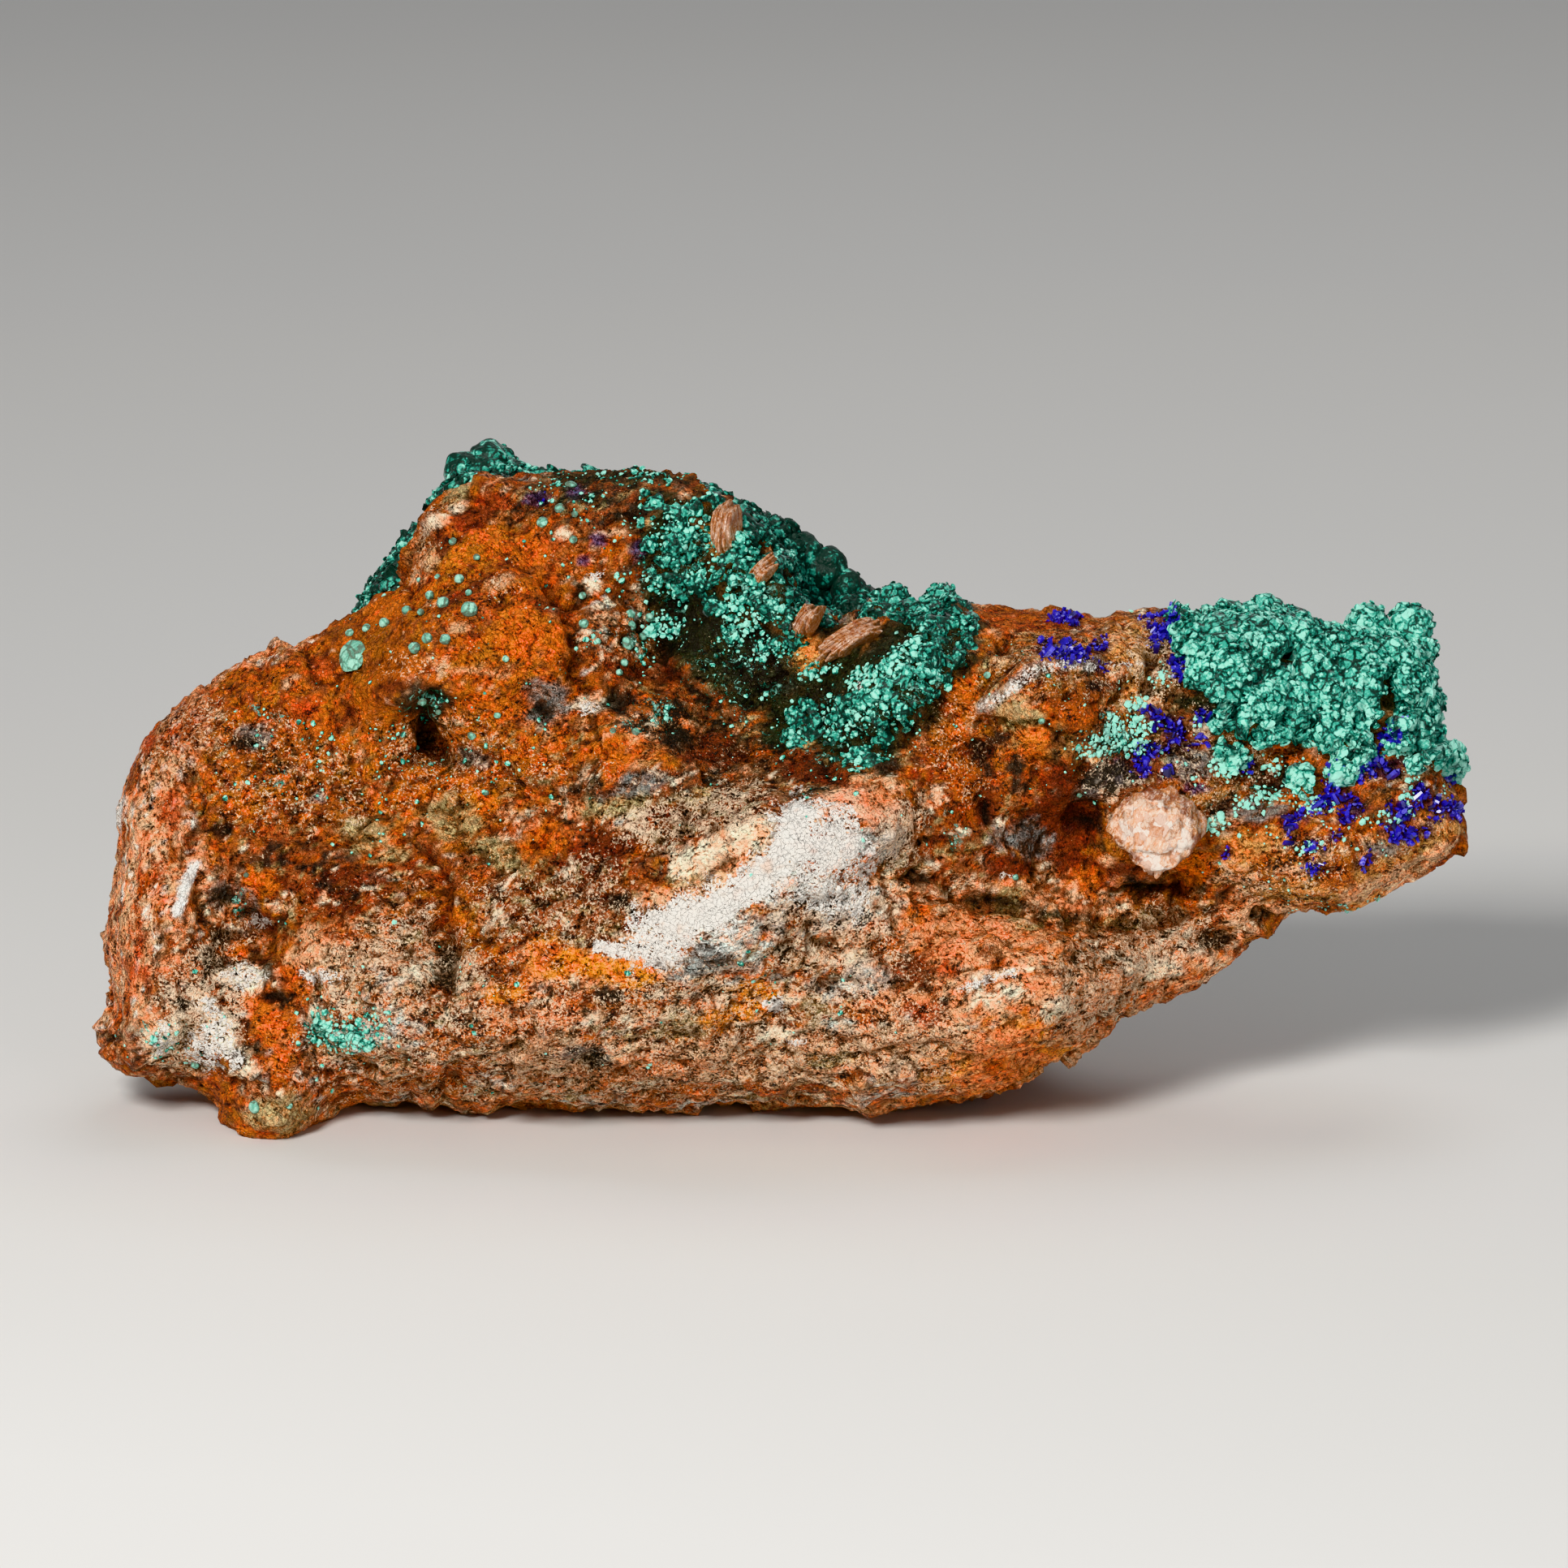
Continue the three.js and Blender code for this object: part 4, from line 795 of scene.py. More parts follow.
class Paint(Tree):
    """A material under construction. Its textures are in millimetres."""

    def __init__(self, name):
        self.material = bpy.data.materials.new(name)
        self.material.use_nodes = True
        super().__init__(self.material.node_tree)
        self.nodes.clear()
        self.place = self.scaled(self.node("ShaderNodeTexCoord", output="Object"), 1 / MM)

    def attribute(self, name, output="Fac"):
        return self.node("ShaderNodeAttribute", output=output, attribute_name=name)

    def parts(self, colour):
        """The three parts of a colour, each as a number."""
        red = self.node("ShaderNodeSeparateColor", {0: colour})
        return red, red.also(1), red.also(2)

    def noise(self, size, detail=3, rough=0.6, place=None, curl=0.0, output=0):
        """Noise from 0 to 1 with features of about this size."""
        return self.node("ShaderNodeTexNoise", {
            "Vector": place or self.place, "Scale": 1 / size, "Detail": detail, "Roughness": rough, "Distortion": curl,
        }, output)

    def cells(self, scale, place=None, output="Distance", feature="F1"):
        """Cells, this many to the millimetre: the distance to the nearest centre or edge, or each cell's colour."""
        sockets = {"Vector": place or self.place, "Scale": scale}
        return self.node("ShaderNodeTexVoronoi", sockets, output, feature=feature)

    def flats(self, scale, place, soft):
        """Broken flats, this many to the millimetre: three numbers for each flat, and the seam round it."""
        seam = 1 - self.cells(scale, place, feature="DISTANCE_TO_EDGE").between(*soft)
        return *self.parts(self.cells(scale, place, "Color")), seam

    def bent(self, size, reach):
        """Places pushed about by this much, in swirls of this size."""
        push = self.noise(size, 3, 0.5, output="Color")
        return self.node("ShaderNodeVectorMath", {0: push, 1: (reach,) * 3, 2: self.place}, operation="MULTIPLY_ADD")

    def stretched(self, turn, squeeze, place=None):
        """Places turned in the upright plane by this many degrees, then squeezed along each axis."""
        rotation = (0, math.radians(turn), 0)
        placed = self.node("ShaderNodeMapping", {"Vector": place or self.place, "Rotation": rotation})
        return self.node("ShaderNodeVectorMath", {0: placed, 1: squeeze}, operation="MULTIPLY")

    def mix(self, factor, first, second, blend="MIX"):
        first, second = (value if isinstance(value, Wire) else (*value, 1) for value in (first, second))
        sockets = {0: factor, 6: first, 7: second}
        return self.node("ShaderNodeMix", sockets, 2, data_type="RGBA", blend_type=blend, clamp_factor=True)

    def stained(self, colour, by):
        return self.mix(1.0, colour, by, "MULTIPLY")

    def bump(self, height, strength, reach):
        return self.node("ShaderNodeBump", {"Height": height, "Strength": strength, "Distance": reach * MM})

    def finish(self, values):
        surface = self.node("ShaderNodeBsdfPrincipled", values)
        self.node("ShaderNodeOutputMaterial", {"Surface": surface})
        return self.material


# -------- settings
def colour_setting(name, description, value):
    return FloatVectorProperty(name=name, description=description, default=value, subtype="COLOR", size=3, min=0, max=1)


def length_setting(name, description, value, top=0.02):
    return FloatProperty(name=name, description=description, default=value, min=0, max=top, unit="LENGTH", precision=5)


def power_setting(name, description, value):
    return FloatProperty(name=name, description=description, default=value, min=0, unit="POWER")


def seed_setting(description, value):
    return IntProperty(name="Seed", description=description, default=value, min=0)


class StoneSettings(bpy.types.PropertyGroup):
    square: length_setting("Square", "Side of the squares of the stone's mesh", 0.00038)
    big_break: length_setting("Big breaks", "Size of the largest broken flats", 0.0062)
    small_break: length_setting("Small breaks", "Size of the smaller broken flats", 0.0021)
    break_rise: length_setting("Break height", "Height of the largest broken flats", 0.00085)
    grain_rise: length_setting("Grain height", "Height of the sugary grain", 0.00011)
    seed: seed_setting("Number that fixes the stone's noise", 11)


class MineralColours(bpy.types.PropertyGroup):
    rust: colour_setting("Rust", "Barite stained by limonite", (0.34, 0.060, 0.004))
    ochre: colour_setting("Ochre", "Yellower iron stain", (0.38, 0.098, 0.008))
    red_brown: colour_setting("Red-brown", "Barite stained by hematite", (0.23, 0.058, 0.019))
    brown: colour_setting("Brown", "Weathered brown skin", (0.27, 0.098, 0.033))
    umber: colour_setting("Umber", "Dark brown skin", (0.105, 0.045, 0.020))
    amber: colour_setting("Amber", "Translucent orange-tan barite", (0.60, 0.25, 0.075))
    red: colour_setting("Red", "Red ochre specks", (0.38, 0.050, 0.010))
    # deep red is hematite, and also painted shade in the hollows
    deep_red: colour_setting("Deep red", "Hematite in the hollows", (0.13, 0.018, 0.004))
    orange: colour_setting("Orange", "Fresh orange iron stain", (0.90, 0.25, 0.012))
    rust_orange: colour_setting("Rust-orange", "Bright rust", (0.54, 0.104, 0.008))
    tan: colour_setting("Tan", "Tan barite", (0.56, 0.29, 0.145))
    peach: colour_setting("Peach", "Peach-coloured barite", (0.72, 0.37, 0.20))
    salmon: colour_setting("Salmon", "Salmon-pink barite", (0.76, 0.25, 0.10))
    pink: colour_setting("Pink", "Pale pink barite", (0.90, 0.42, 0.25))
    khaki: colour_setting("Khaki", "Olive-brown clay film", (0.36, 0.24, 0.11))
    cream: colour_setting("Cream", "Cream barite", (0.95, 0.73, 0.51))
    white: colour_setting("White", "Clean white barite", (0.97, 0.93, 0.86))
    white_grey: colour_setting("Grey-white", "White barite with grey film", (0.62, 0.55, 0.47))
    grey: colour_setting("Grey", "Grey manganese film", (0.17, 0.155, 0.14))
    black: colour_setting("Black", "Manganese oxide", (0.022, 0.018, 0.014))
    # green-black is the dark ground under the malachite, and also painted shade in the gully
    green_black: colour_setting("Green-black", "Dark ground under the malachite", (0.018, 0.020, 0.010))
    violet: colour_setting("Violet-grey", "Film of azurite dust", (0.11, 0.075, 0.16))


class MalachiteSettings(bpy.types.PropertyGroup):
    # pale: the tufts' mint, with painted light on their tops; deep: dark green that paints the shade between the tufts
    pale: colour_setting("Pale malachite", "Mint tops of the tufts", (0.36, 0.78, 0.64))
    middle: colour_setting("Middle malachite", "Green of the tufts", (0.055, 0.42, 0.31))
    deep: colour_setting("Deep malachite", "Dark green between the tufts", (0.004, 0.09, 0.06))
    tuft_spacing: length_setting("Tuft spacing", "Least distance between large tufts", 0.00066)
    tuft_size: length_setting("Tuft size", "Largest radius of a tuft", 0.00053)
    bead_spacing: length_setting("Bead spacing", "Least distance between small beads", 0.00045)
    bead_size: length_setting("Bead size", "Largest radius of a bead", 0.00029)
    seed: seed_setting("Number that fixes where the tufts grow", 4)


class AzuriteSettings(bpy.types.PropertyGroup):
    colour: colour_setting("Azurite", "Blue of the crystals", (0.040, 0.032, 0.52))
    deep: colour_setting("Deep azurite", "Blue of the crystals' thick parts", (0.006, 0.003, 0.060))
    spacing: length_setting("Spacing", "Least distance between crystals", 0.00025)
    size: length_setting("Crystal size", "Largest half length of a crystal", 0.00054)
    seed: seed_setting("Number that fixes where the crystals grow", 8)


class BariteSettings(bpy.types.PropertyGroup):
    nodule: colour_setting("Nodule", "Peach of the nodule", (0.92, 0.56, 0.36))
    blade: colour_setting("Blade", "Tan of the blades", (0.46, 0.175, 0.052))
    plates: IntProperty(name="Plates", description="Plates stacked in each blade", default=7, min=2, max=20)


class StageSettings(bpy.types.PropertyGroup):
    floor: colour_setting("Floor", "Colour of the floor", (0.74, 0.73, 0.71))
    lens: FloatProperty(name="Lens", description="Focal length in millimetres", default=250, min=20, max=600)
    view_width: length_setting("View width", "Width of the picture at the specimen", 0.1085, 1.0)
    key_power: power_setting("Key light", "Power of the main light", 3.1)
    fill_power: power_setting("Fill light", "Power of the light from the other side and from above", 0.5)


SETTINGS = {
    "specimen_stone": StoneSettings,
    "specimen_minerals": MineralColours,
    "specimen_malachite": MalachiteSettings,
    "specimen_azurite": AzuriteSettings,
    "specimen_barite": BariteSettings,
    "specimen_stage": StageSettings,
}


# -------- the stone
STONE_MELT = 16  # rounds of smoothing that take the CAD stone's flat facets off
STONE_SWELL = 0.25  # gives back what the smoothing takes
BENDS = ((3, 0.07), (14, 0.26), (60, 0.9))  # rounds of smoothing that show a bend, and the bend that counts as 1


def fibre_flow(skin):
    """How far the fibres run level, upright and slanted at each point."""
    upright = skin.covered(STREAKS_UPRIGHT, ragged=0.2, soft=0.6, all_round=True)
    slanted = skin.covered(STREAKS_SLANTED, ragged=0.2, soft=0.6, all_round=True)
    return np.clip(1 - upright - slanted, 0, 1), upright, slanted


def stone_relief(skin, sizes, flow):
    """How far each point of the smooth stone moves out."""
    points, seed = skin.points, sizes.seed
    warped = points + 0.9 * np.stack([wavy(points, 2.6, seed + i) for i in range(3)], 1)
    rise = np.zeros(len(points))
    for size, height in ((sizes.big_break, 1.0), (sizes.small_break, 0.42), (sizes.small_break * 0.45, 0.2)):
        _, tilt, number = cells(warped, size / MM, seed)
        rise += sizes.break_rise / MM * height * (tilt * 0.9 + (number - 0.5) * 0.45)
    rise += 0.18 * rough(points, 1.7, 3, seed + 5) - 0.18 * np.abs(rough(points, 2.9, 2, seed + 6))
    for share, turn in zip(flow, FIBRE_TURNS):
        rise += 0.17 * share * rough(skin.along_fibres(math.radians(turn), 4.2, 0.75), 1.0, 2, seed + 8, 0.6)
    rise += sizes.grain_rise / MM * rough(points, 0.7, 2, seed + 9, 0.8)
    rise *= 1 - 0.5 * skin.covered(CALM, ragged=0.3, soft=0.5)
    for table, way in ((HOLLOWS, -1), (CRACKS, -1), (RISES, 1)):
        for height, soft, places in table:
            for place in places:
                near, share = skin.cover(place, 0.25, soft)
                rise[near] += way * height * share * skin.front[near]
    return rise


def lay_over(tint, colour, share, near=slice(None)):
    """Mixes a colour into the tints of some points, by a share of each."""
    share = share[:, None]
    tint[near] = tint[near] * (1 - share) + colour * share


def mineral_tints(skin, minerals, flow, seed):
    """The colour of the stone at each point: layered stains all round, minerals placed one by one on the face."""
    points = skin.points
    value = {name: np.array(getattr(minerals, name)) for name in minerals.__annotations__}
    drawn_out = skin.along_fibres(np.radians(sum(turn * share for turn, share in zip(FIBRE_TURNS, flow))), 2.1, 1)
    sizes = (1.5, 0.9, 2.2, 1.2, 3.2, 0.8, 1.8)
    fields = [rough(drawn_out, size, 4, seed + 20 + i, 0.75) for i, size in enumerate(sizes)]
    tint = np.tile(value["rust"], (len(points), 1))

    def mottled(share, mix, first):
        """Lays each mineral of a mix over its part of a place."""
        near = np.flatnonzero(share > 0.01)
        for i, (mineral, part) in enumerate(mix.items(), first):
            field = fields[i % len(fields)][near] * (-1) ** (i // len(fields) + 1)
            least = np.quantile(field, 1 - part)
            lay_over(tint, value[mineral], ease(field, least - 0.05, least + 0.09) * share[near] * 0.92, near)

    def painted(place, colour, ragged, soft, strength):
        near, share = skin.cover(place, ragged, soft)
        lay_over(tint, colour, share * strength * skin.front[near], near)

    mottled(np.ones(len(points)), RUST_MIX, 0)
    all_round = [("tan", BAND_MIX, 13), ("red_brown", SPECKLED_MIX, 9), ("peach", LOBE_MIX, 11), ("ochre", RUST_MIX, 7)]
    for i, (mineral, mix, size) in enumerate(all_round):
        share = ease(rough(points, size, 3, seed + 60 + i), 0.12, 0.24)
        lay_over(tint, value[mineral], share)
        mottled(share, mix, i)
    for i, (mineral, mix, places) in enumerate(ZONES):
        share = skin.covered(places, ragged=0.5, soft=0.25)
        lay_over(tint, value[mineral], share * 0.95)
        mottled(share, mix, i + 2)
    for mineral, ragged, strength, places in FACE_MINERALS:
        for place in places:
            painted(place, value[mineral], ragged, 0.22, strength)
    # the dark colour under the azurite crystals
    for _, places in AZURITE:
        for place in places:
            painted(place, np.array(AZURITE_GROUND), 0.6, 0.4, 0.8)
    return (tint * (1 + 0.25 * fields[5] + 0.15 * fields[2])[:, None].clip(0.45, 1.6)).clip(0, 0.96)


def thickness_of(skin, table, elsewhere, seed):
    """How thick grains lie at each point: as a table says on the face, in patches this thick elsewhere."""
    total = elsewhere * ease(rough(skin.points, 6, 3, seed), 0.0, 0.5) * (1 - 0.8 * skin.front)
    for amount, places in table:
        for place in places:
            near, share = skin.cover(place, 0.4, 0.45)
            total[near] = np.maximum(total[near], amount * share * skin.front[near])
    return total


def stone_material(minerals):
    paint = Paint("stained_barite")
    tint = paint.attribute("tint", "Color")
    pale, dark, green = paint.parts(paint.attribute("grains", "Color"))
    # painted shade for the hollows, painted highlight for the convex edges, and the share of white barite
    hollow_shade, edge, white = paint.parts(paint.attribute("painted_light_and_white", "Color"))
    flow = paint.parts(paint.attribute("flow", "Color"))

    bent, swirled = paint.bent(0.66, 0.9), paint.bent(4.4, 5.0)
    coarse = paint.noise(1.3, 4, 0.7)
    middling = paint.noise(0.5, 3, 0.7)
    fine = paint.noise(0.19, 2, 0.7)
    fibres = 0.0
    for share, turn in zip(flow, FIBRE_TURNS):
        fibres = fibres + share * paint.noise(0.30, 3, 0.7, paint.stretched(-turn, (0.17, 0.6, 1), swirled))
    sugar, fleck, shine, seams = paint.flats(2.6, bent, (0.0, 0.10))
    curls = paint.noise(0.42, 2, 0.6, curl=2.2)
    darker_curls = paint.noise(0.40, 2, 0.6, bent, 1.8)

    # light and dark over the stain
    brightness = 0.12 + coarse.between(0.36, 0.64) * 0.34 + sugar * 0.26 + fibres.between(0.42, 0.58) * 0.70
    brightness = brightness + curls.between(0.40, 0.60) * 0.40 + middling.between(0.38, 0.62) * 0.36
    brightness = brightness + fine.between(0.36, 0.64) * 0.42
    brightness = (brightness - pale * 0.20).between(0.40, 2.20) * 2.95
    redder, duller = paint.stained(tint, (1.20, 0.76, 0.55)), paint.stained(tint, (0.74, 0.94, 1.00))
    hued = paint.mix((paint.noise(0.9, 4, 0.75, bent) * 0.6 + fibres * 0.4).between(0.42, 0.56), redder, duller)
    colour = paint.scaled(hued, brightness)

    # painted shade in the crevices: dark seams between the grains and along the fibres, less of it where the stone is
    # pale; the same share weakens the black grains and the painted shade of the hollows
    deep = paint.stained(tint, (0.26, 0.13, 0.08))
    # share of painted shade and black grains, lower on pale stone
    shade_and_speck_share = 1 - paint.node("ShaderNodeRGBToBW", {0: tint}).between(0.36, 0.74) * 0.6
    colour = paint.mix(seams * (0.10 + coarse * 0.35) * shade_and_speck_share, colour, deep)
    colour = paint.mix((coarse * 0.5 + fibres * 0.6).between(0.60, 0.70) * 0.6 * shade_and_speck_share, colour, deep)

    # pale flecks and grains, white barite, then black and green grains
    flecks = paint.scaled(paint.node("ShaderNodeGamma", {0: tint, 1: 0.88}), 1.22)
    colour = paint.mix((fleck * 0.35 + fine * 0.7 + fibres * 0.25).between(0.70, 0.76) * 0.6, colour, flecks)
    pale_share = fine * 0.5 + curls * 0.75 + middling * 0.25 + (coarse - 0.5) * 0.3 + pale * 0.25
    colour = paint.mix(pale_share.between(0.96, 1.0) * 0.95, colour, paint.mix(0.22, minerals.cream, flecks))
    white_share = (white + (curls - 0.5) * 1.3 + (fine - 0.5) * 0.5 + (middling - 0.5) * 0.8).between(0.48, 0.57)
    snow = 0.82 + fine.between(0.35, 0.6) * 0.08 + curls.between(0.38, 0.50) * 0.16
    colour = paint.mix(white_share * 0.96, colour, paint.scaled(tuple(minerals.white), snow))
    shade_and_speck_share = shade_and_speck_share - white_share * 0.15
    dark_share = ((1 - fine) * 0.5 + darker_curls * 0.75 + (0.5 - coarse) * 0.3 + dark * 0.27).between(0.86, 0.92)
    colour = paint.mix(dark_share * 0.94 * shade_and_speck_share, colour, minerals.black)
    green_share = (paint.noise(0.6, 4, 0.75, curl=1.0) * 0.95 + green * 0.34).between(0.80, 0.86)
    green_tint = paint.mix(middling.between(0.42, 0.60), (0.30, 0.66, 0.54), (0.012, 0.16, 0.11))
    colour = paint.mix(green_share * green.between(0.12, 0.4), colour, green_tint)

    # painted shade in the hollows, painted highlight on the convex edges
    colour = paint.mix(hollow_shade.between(0.25, 1.0) * 0.85 * shade_and_speck_share, colour, paint.stained(colour, (0.16, 0.09, 0.06)))
    colour = paint.mix(edge.between(0.25, 1.0) * 0.40, colour, flecks)
    height = fine * 0.7 + middling * 0.8 + curls * 0.6 + fibres * 1.1 - seams * 0.35 + sugar * 0.6 + coarse * 0.5
    return paint.finish({
        "Base Color": colour,
        "Roughness": 0.64 - shine.between(0.80, 0.90) * 0.36 - fine * 0.1,
        "Normal": paint.bump(height, 0.9, 0.30),
        "Specular IOR Level": 0.28,
        "IOR": 1.6,
    })


class SPECIMEN_OT_stone(bpy.types.Operator):
    """Breaks and stains the surface of the barite matrix"""

    bl_idname = "specimen.stone"
    bl_label = "Stone"

    def execute(self, context):
        sizes, minerals = context.scene.specimen_stone, context.scene.specimen_minerals
        even = remeshed(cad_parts["barite_matrix"], "stone", sizes.square)
        skin = Skin(even)
        skin.points = skin.smoothed(skin.points, STONE_MELT)
        skin.measure()
        flow = fibre_flow(skin)
        rise = stone_relief(skin, sizes, flow)
        base = skin.points + skin.normals * STONE_SWELL
        for place, way in PUSHES:
            near, share = skin.cover(place, 0.1, 0.9)
            base[near] += (share * ease(skin.out[near], -6, 0))[:, None] * np.array(way)
        skin.points = base + skin.normals * rise[:, None]
        skin.points[:, 2] = np.maximum(skin.points[:, 2], 0.0)
        skin.measure()

        tint = mineral_tints(skin, minerals, flow, sizes.seed)
        bent = [
            ((skin.smoothed(skin.points, rounds) - skin.points) * skin.normals).sum(1) / full
            for rounds, full in BENDS
        ]
        # painted shade for the hollows and painted highlight for the convex edges, from how far the surface bends in or
        # out
        hollow_shade = np.clip(0.35 * bent[0] + 0.6 * bent[1] + 0.55 * bent[2], 0, 1)
        edge = np.clip(-0.4 * bent[0] - 0.5 * bent[1], 0, 1)
        pale, dark, green, white = (
            thickness_of(skin, table, elsewhere, sizes.seed + 40 + i)
            for i, (table, elsewhere) in enumerate(
                [(PALE_GRAINS, 0.75), (DARK_GRAINS, 0.7), (GREEN_GRAINS, 0.45), (WHITE, 0)]
            )
        )
        mesh = mesh_of("stone", skin.points, skin.quads)
        give_colours(mesh, "tint", *tint.T)
        give_colours(mesh, "grains", pale, dark, green)
        give_colours(mesh, "painted_light_and_white", hollow_shade, edge, white)
        give_colours(mesh, "flow", *flow)
        stone = new_object("stone", mesh, stone_material(minerals))
        bpy.data.meshes.remove(even)
        finish_piece(stone, "stained_barite", "barite_matrix")
        return {"FINISHED"}


def stone_skin():
    """The finished stone's points, for what grows on it."""
    return Skin(bpy.data.objects["stone"].data)


# -------- malachite
class Crust(NamedTuple):
    slot: str
    places: list
    gaps: list
    outs: tuple  # it grows between these two distances out from the face
    thickness: float
    broken: float  # share of it that is broken up
    darkness: float
    tufts: float  # size of its tufts, as a share of the settings' sizes
    lumps: tuple = ()  # taller lumps that it carries, as (across, up, out, radius)
    paler: tuple = ()  # (axis, mm where it starts to pale, mm where it is palest)


END_EDGE = (
    (26.6, 16), (27.2, 10.4), (27.6, 6.8), (29.6, 5.6), (30, 3.6), (32.6, 2.8), (35, 3.3), (37, 1.6), (40, 2.2),
    (43, 2), (45, 0.6), (48.5, 0), (50, 4), (50, 17),
)
CRUSTS = {
    "malachite_crust_end": Crust(
        "malachite",
        [END_EDGE, (35.4, -0.2, 0.9, 0.7), (38.6, 0.9, 1.2, 1), (30.8, 1.9, 1.2, 1), (43.6, 1, 0.9, 0.7)],
        [(35, 1.9, 1.9, 0.8), (31, 5.6, 0.7, 0.6), (34.8, 8.7, 0.9, 0.45), (33, 12.3, 0.4), (41.4, 5.4, 0.7, 1.7, 8),
         (44.2, 1.2, 0.6, 0.5), (46, 3, 0.7, 0.5), (40.8, 3.4, 0.7, 0.9), (28.6, 10.6, 0.6)],
        outs=(-20, 20), thickness=0.95, broken=0.3, darkness=0.0, tufts=0.86,
        lumps=[(28.2, 10.9, 0, 1.0), (30.6, 11.5, 0, 1.2), (33.4, 11.8, -0.4, 1.3), (34.4, 11.2, 0.3, 1.0),
               (40.4, 11.0, -0.4, 1.5), (41.4, 9.8, 0.6, 1.1), (43.4, 10.9, 0, 1.5), (44.0, 9.2, 0.6, 1.2),
               (37.6, 9.8, -0.4, 1.0)],
        paler=(2, 30.5, 20.5),
    ),
    "malachite_crust_rib": Crust(
        "malachite",
        [([(-8.8, 18.6), (-7, 15.6), (-5.4, 14.4)], 1.7), ([(-3, 17.4), (-1.4, 13.6), (0.4, 11.2)], 1.7),
         ([(8.6, 12.6), (11, 11.4), (12, 9.6)], 1.7), ([(11, 9.6), (9, 6), (7, 4)], 1.2), (1.6, 4.1, 2.2, 1.2, -10),
         ([(3.4, 5.2), (5.6, 5.7), (7.2, 6.6)], 0.8), (5.4, 2, 1.8, 0.6), (7.8, 13, 1.2), (6, 11.9, 0.8),
         (11, 12.9, 1.1), (3, 11.8, 0.9), (-0.5, 15.6, 1.3), (-4.4, 12.2, 1.2, 0.7), (-5.4, 19.4, 1.4, 0.9),
         (9.8, 8.2, 1, 2, -30)],
        [(7, 9.6, 0.9, 1.6, -30), (5, 8.8, 1.5, 0.5, 30)],
        outs=(-6, 20), thickness=0.34, broken=1.0, darkness=0.20, tufts=0.62,
        lumps=[(7.6, 12.6, 0, 1.2), (10.8, 12.6, 0, 1.2), (6, 11.6, 0.6, 0.7)],
    ),
    "malachite_crust_back_left": Crust(
        "dark_malachite",
        [((-30.8, 8), (-30.8, 14.6), (-27, 18.6), (-25, 25), (-22, 28), (-17, 27), (-15.4, 22), (-8, 24), (-8, 15),
          (-18, 12), (-26, 8))],
        [(-24, 11, 1.6, 1), (-14, 17, 2.2, 1.2), (-25.6, 19.2, 1.7, 2)],
        outs=(-30, -5.4), thickness=0.9, broken=0.1, darkness=0.34, tufts=1.0,
        lumps=[(-22.4, 21.9, -10.5, 1.4), (-20.6, 22.4, -11.2, 1.7), (-19.0, 21.3, -10.5, 1.4),
               (-27.2, 13.4, -11, 1.8), (-25.8, 15.8, -10.5, 1.2), (-28.4, 12.4, -10.5, 1.0)],
    ),
    "malachite_crust_back_middle": Crust(
        "dark_malachite",
        [((-7.4, 15), (-7.4, 25), (1, 23), (8, 18), (10, 12), (6, 7.6), (0, 8.6))],
        [(-3, 12, 1.4, 1)],
        outs=(-30, -5.0), thickness=0.9, broken=0.1, darkness=0.56, tufts=1.0,
        lumps=[(-0.8, 16.6, -11, 1.5), (1.3, 16.1, -10.6, 1.5), (3, 15.1, -10.2, 1.5), (4.4, 13.8, -9.8, 1.2)],
    ),
    "malachite_patch_low": Crust(
        "malachite",
        [(-31.6, -16.6, 0.8, 0.6), (-29.0, -17.5, 1.0, 0.6), (-30.4, -17.6, 0.6, 0.5), (-28.4, -18, 0.5, 0.4)],
        [],
        outs=(-2, 20), thickness=0.16, broken=1.0, darkness=0.0, tufts=0.62,
    ),
}
STREAKED_DARKNESS = 0.3  # malachite darker than this is smooth lumps with pale streaks down them
SHELL_SHARE = 0.04  # a shell lies under every square with more than this share at a corner
MALACHITE_TREE = "tufts on a surface"


def lump_squares(across, up, out, radius, seed):
    """A knobbly ball of squares: points and faces."""
    work = bmesh.new()
    bmesh.ops.create_cube(work, size=2)
    bmesh.ops.subdivide_edges(work, edges=work.edges, cuts=9, use_grid_fill=True)
    points, faces = arrays_of(work)
    points /= np.linalg.norm(points, axis=1, keepdims=True)
    near, _, _ = cells(points * radius + 7 * seed, 0.9, seed)
    size = 0.88 + 0.22 * (1 - near**2) + 0.14 * rough(points * radius + 3 * seed, 1.4, 2, seed)
    return from_face(np.array([across, up, out]) + points * size[:, None] * radius @ FACE_AXES.T), faces


def crust_share(skin, crust):
    """How much of a crust lies at each point."""
    low, high = crust.outs
    share = skin.covered(crust.places, crust.gaps, ragged=0.55, soft=0.35, all_round=True)
    broken = np.maximum(crust.broken, ease(6.4 - skin.up, 0, 3.5))
    share *= 1 - broken * ease(rough(skin.points, 1.5, 4, 65, 0.8), -0.05, 0.2)
    level = skin.out + 0.8 * skin.grit
    return share * ease(level, low - 0.6, low + 0.6) * (1 - ease(level, high - 0.6, high + 0.6))


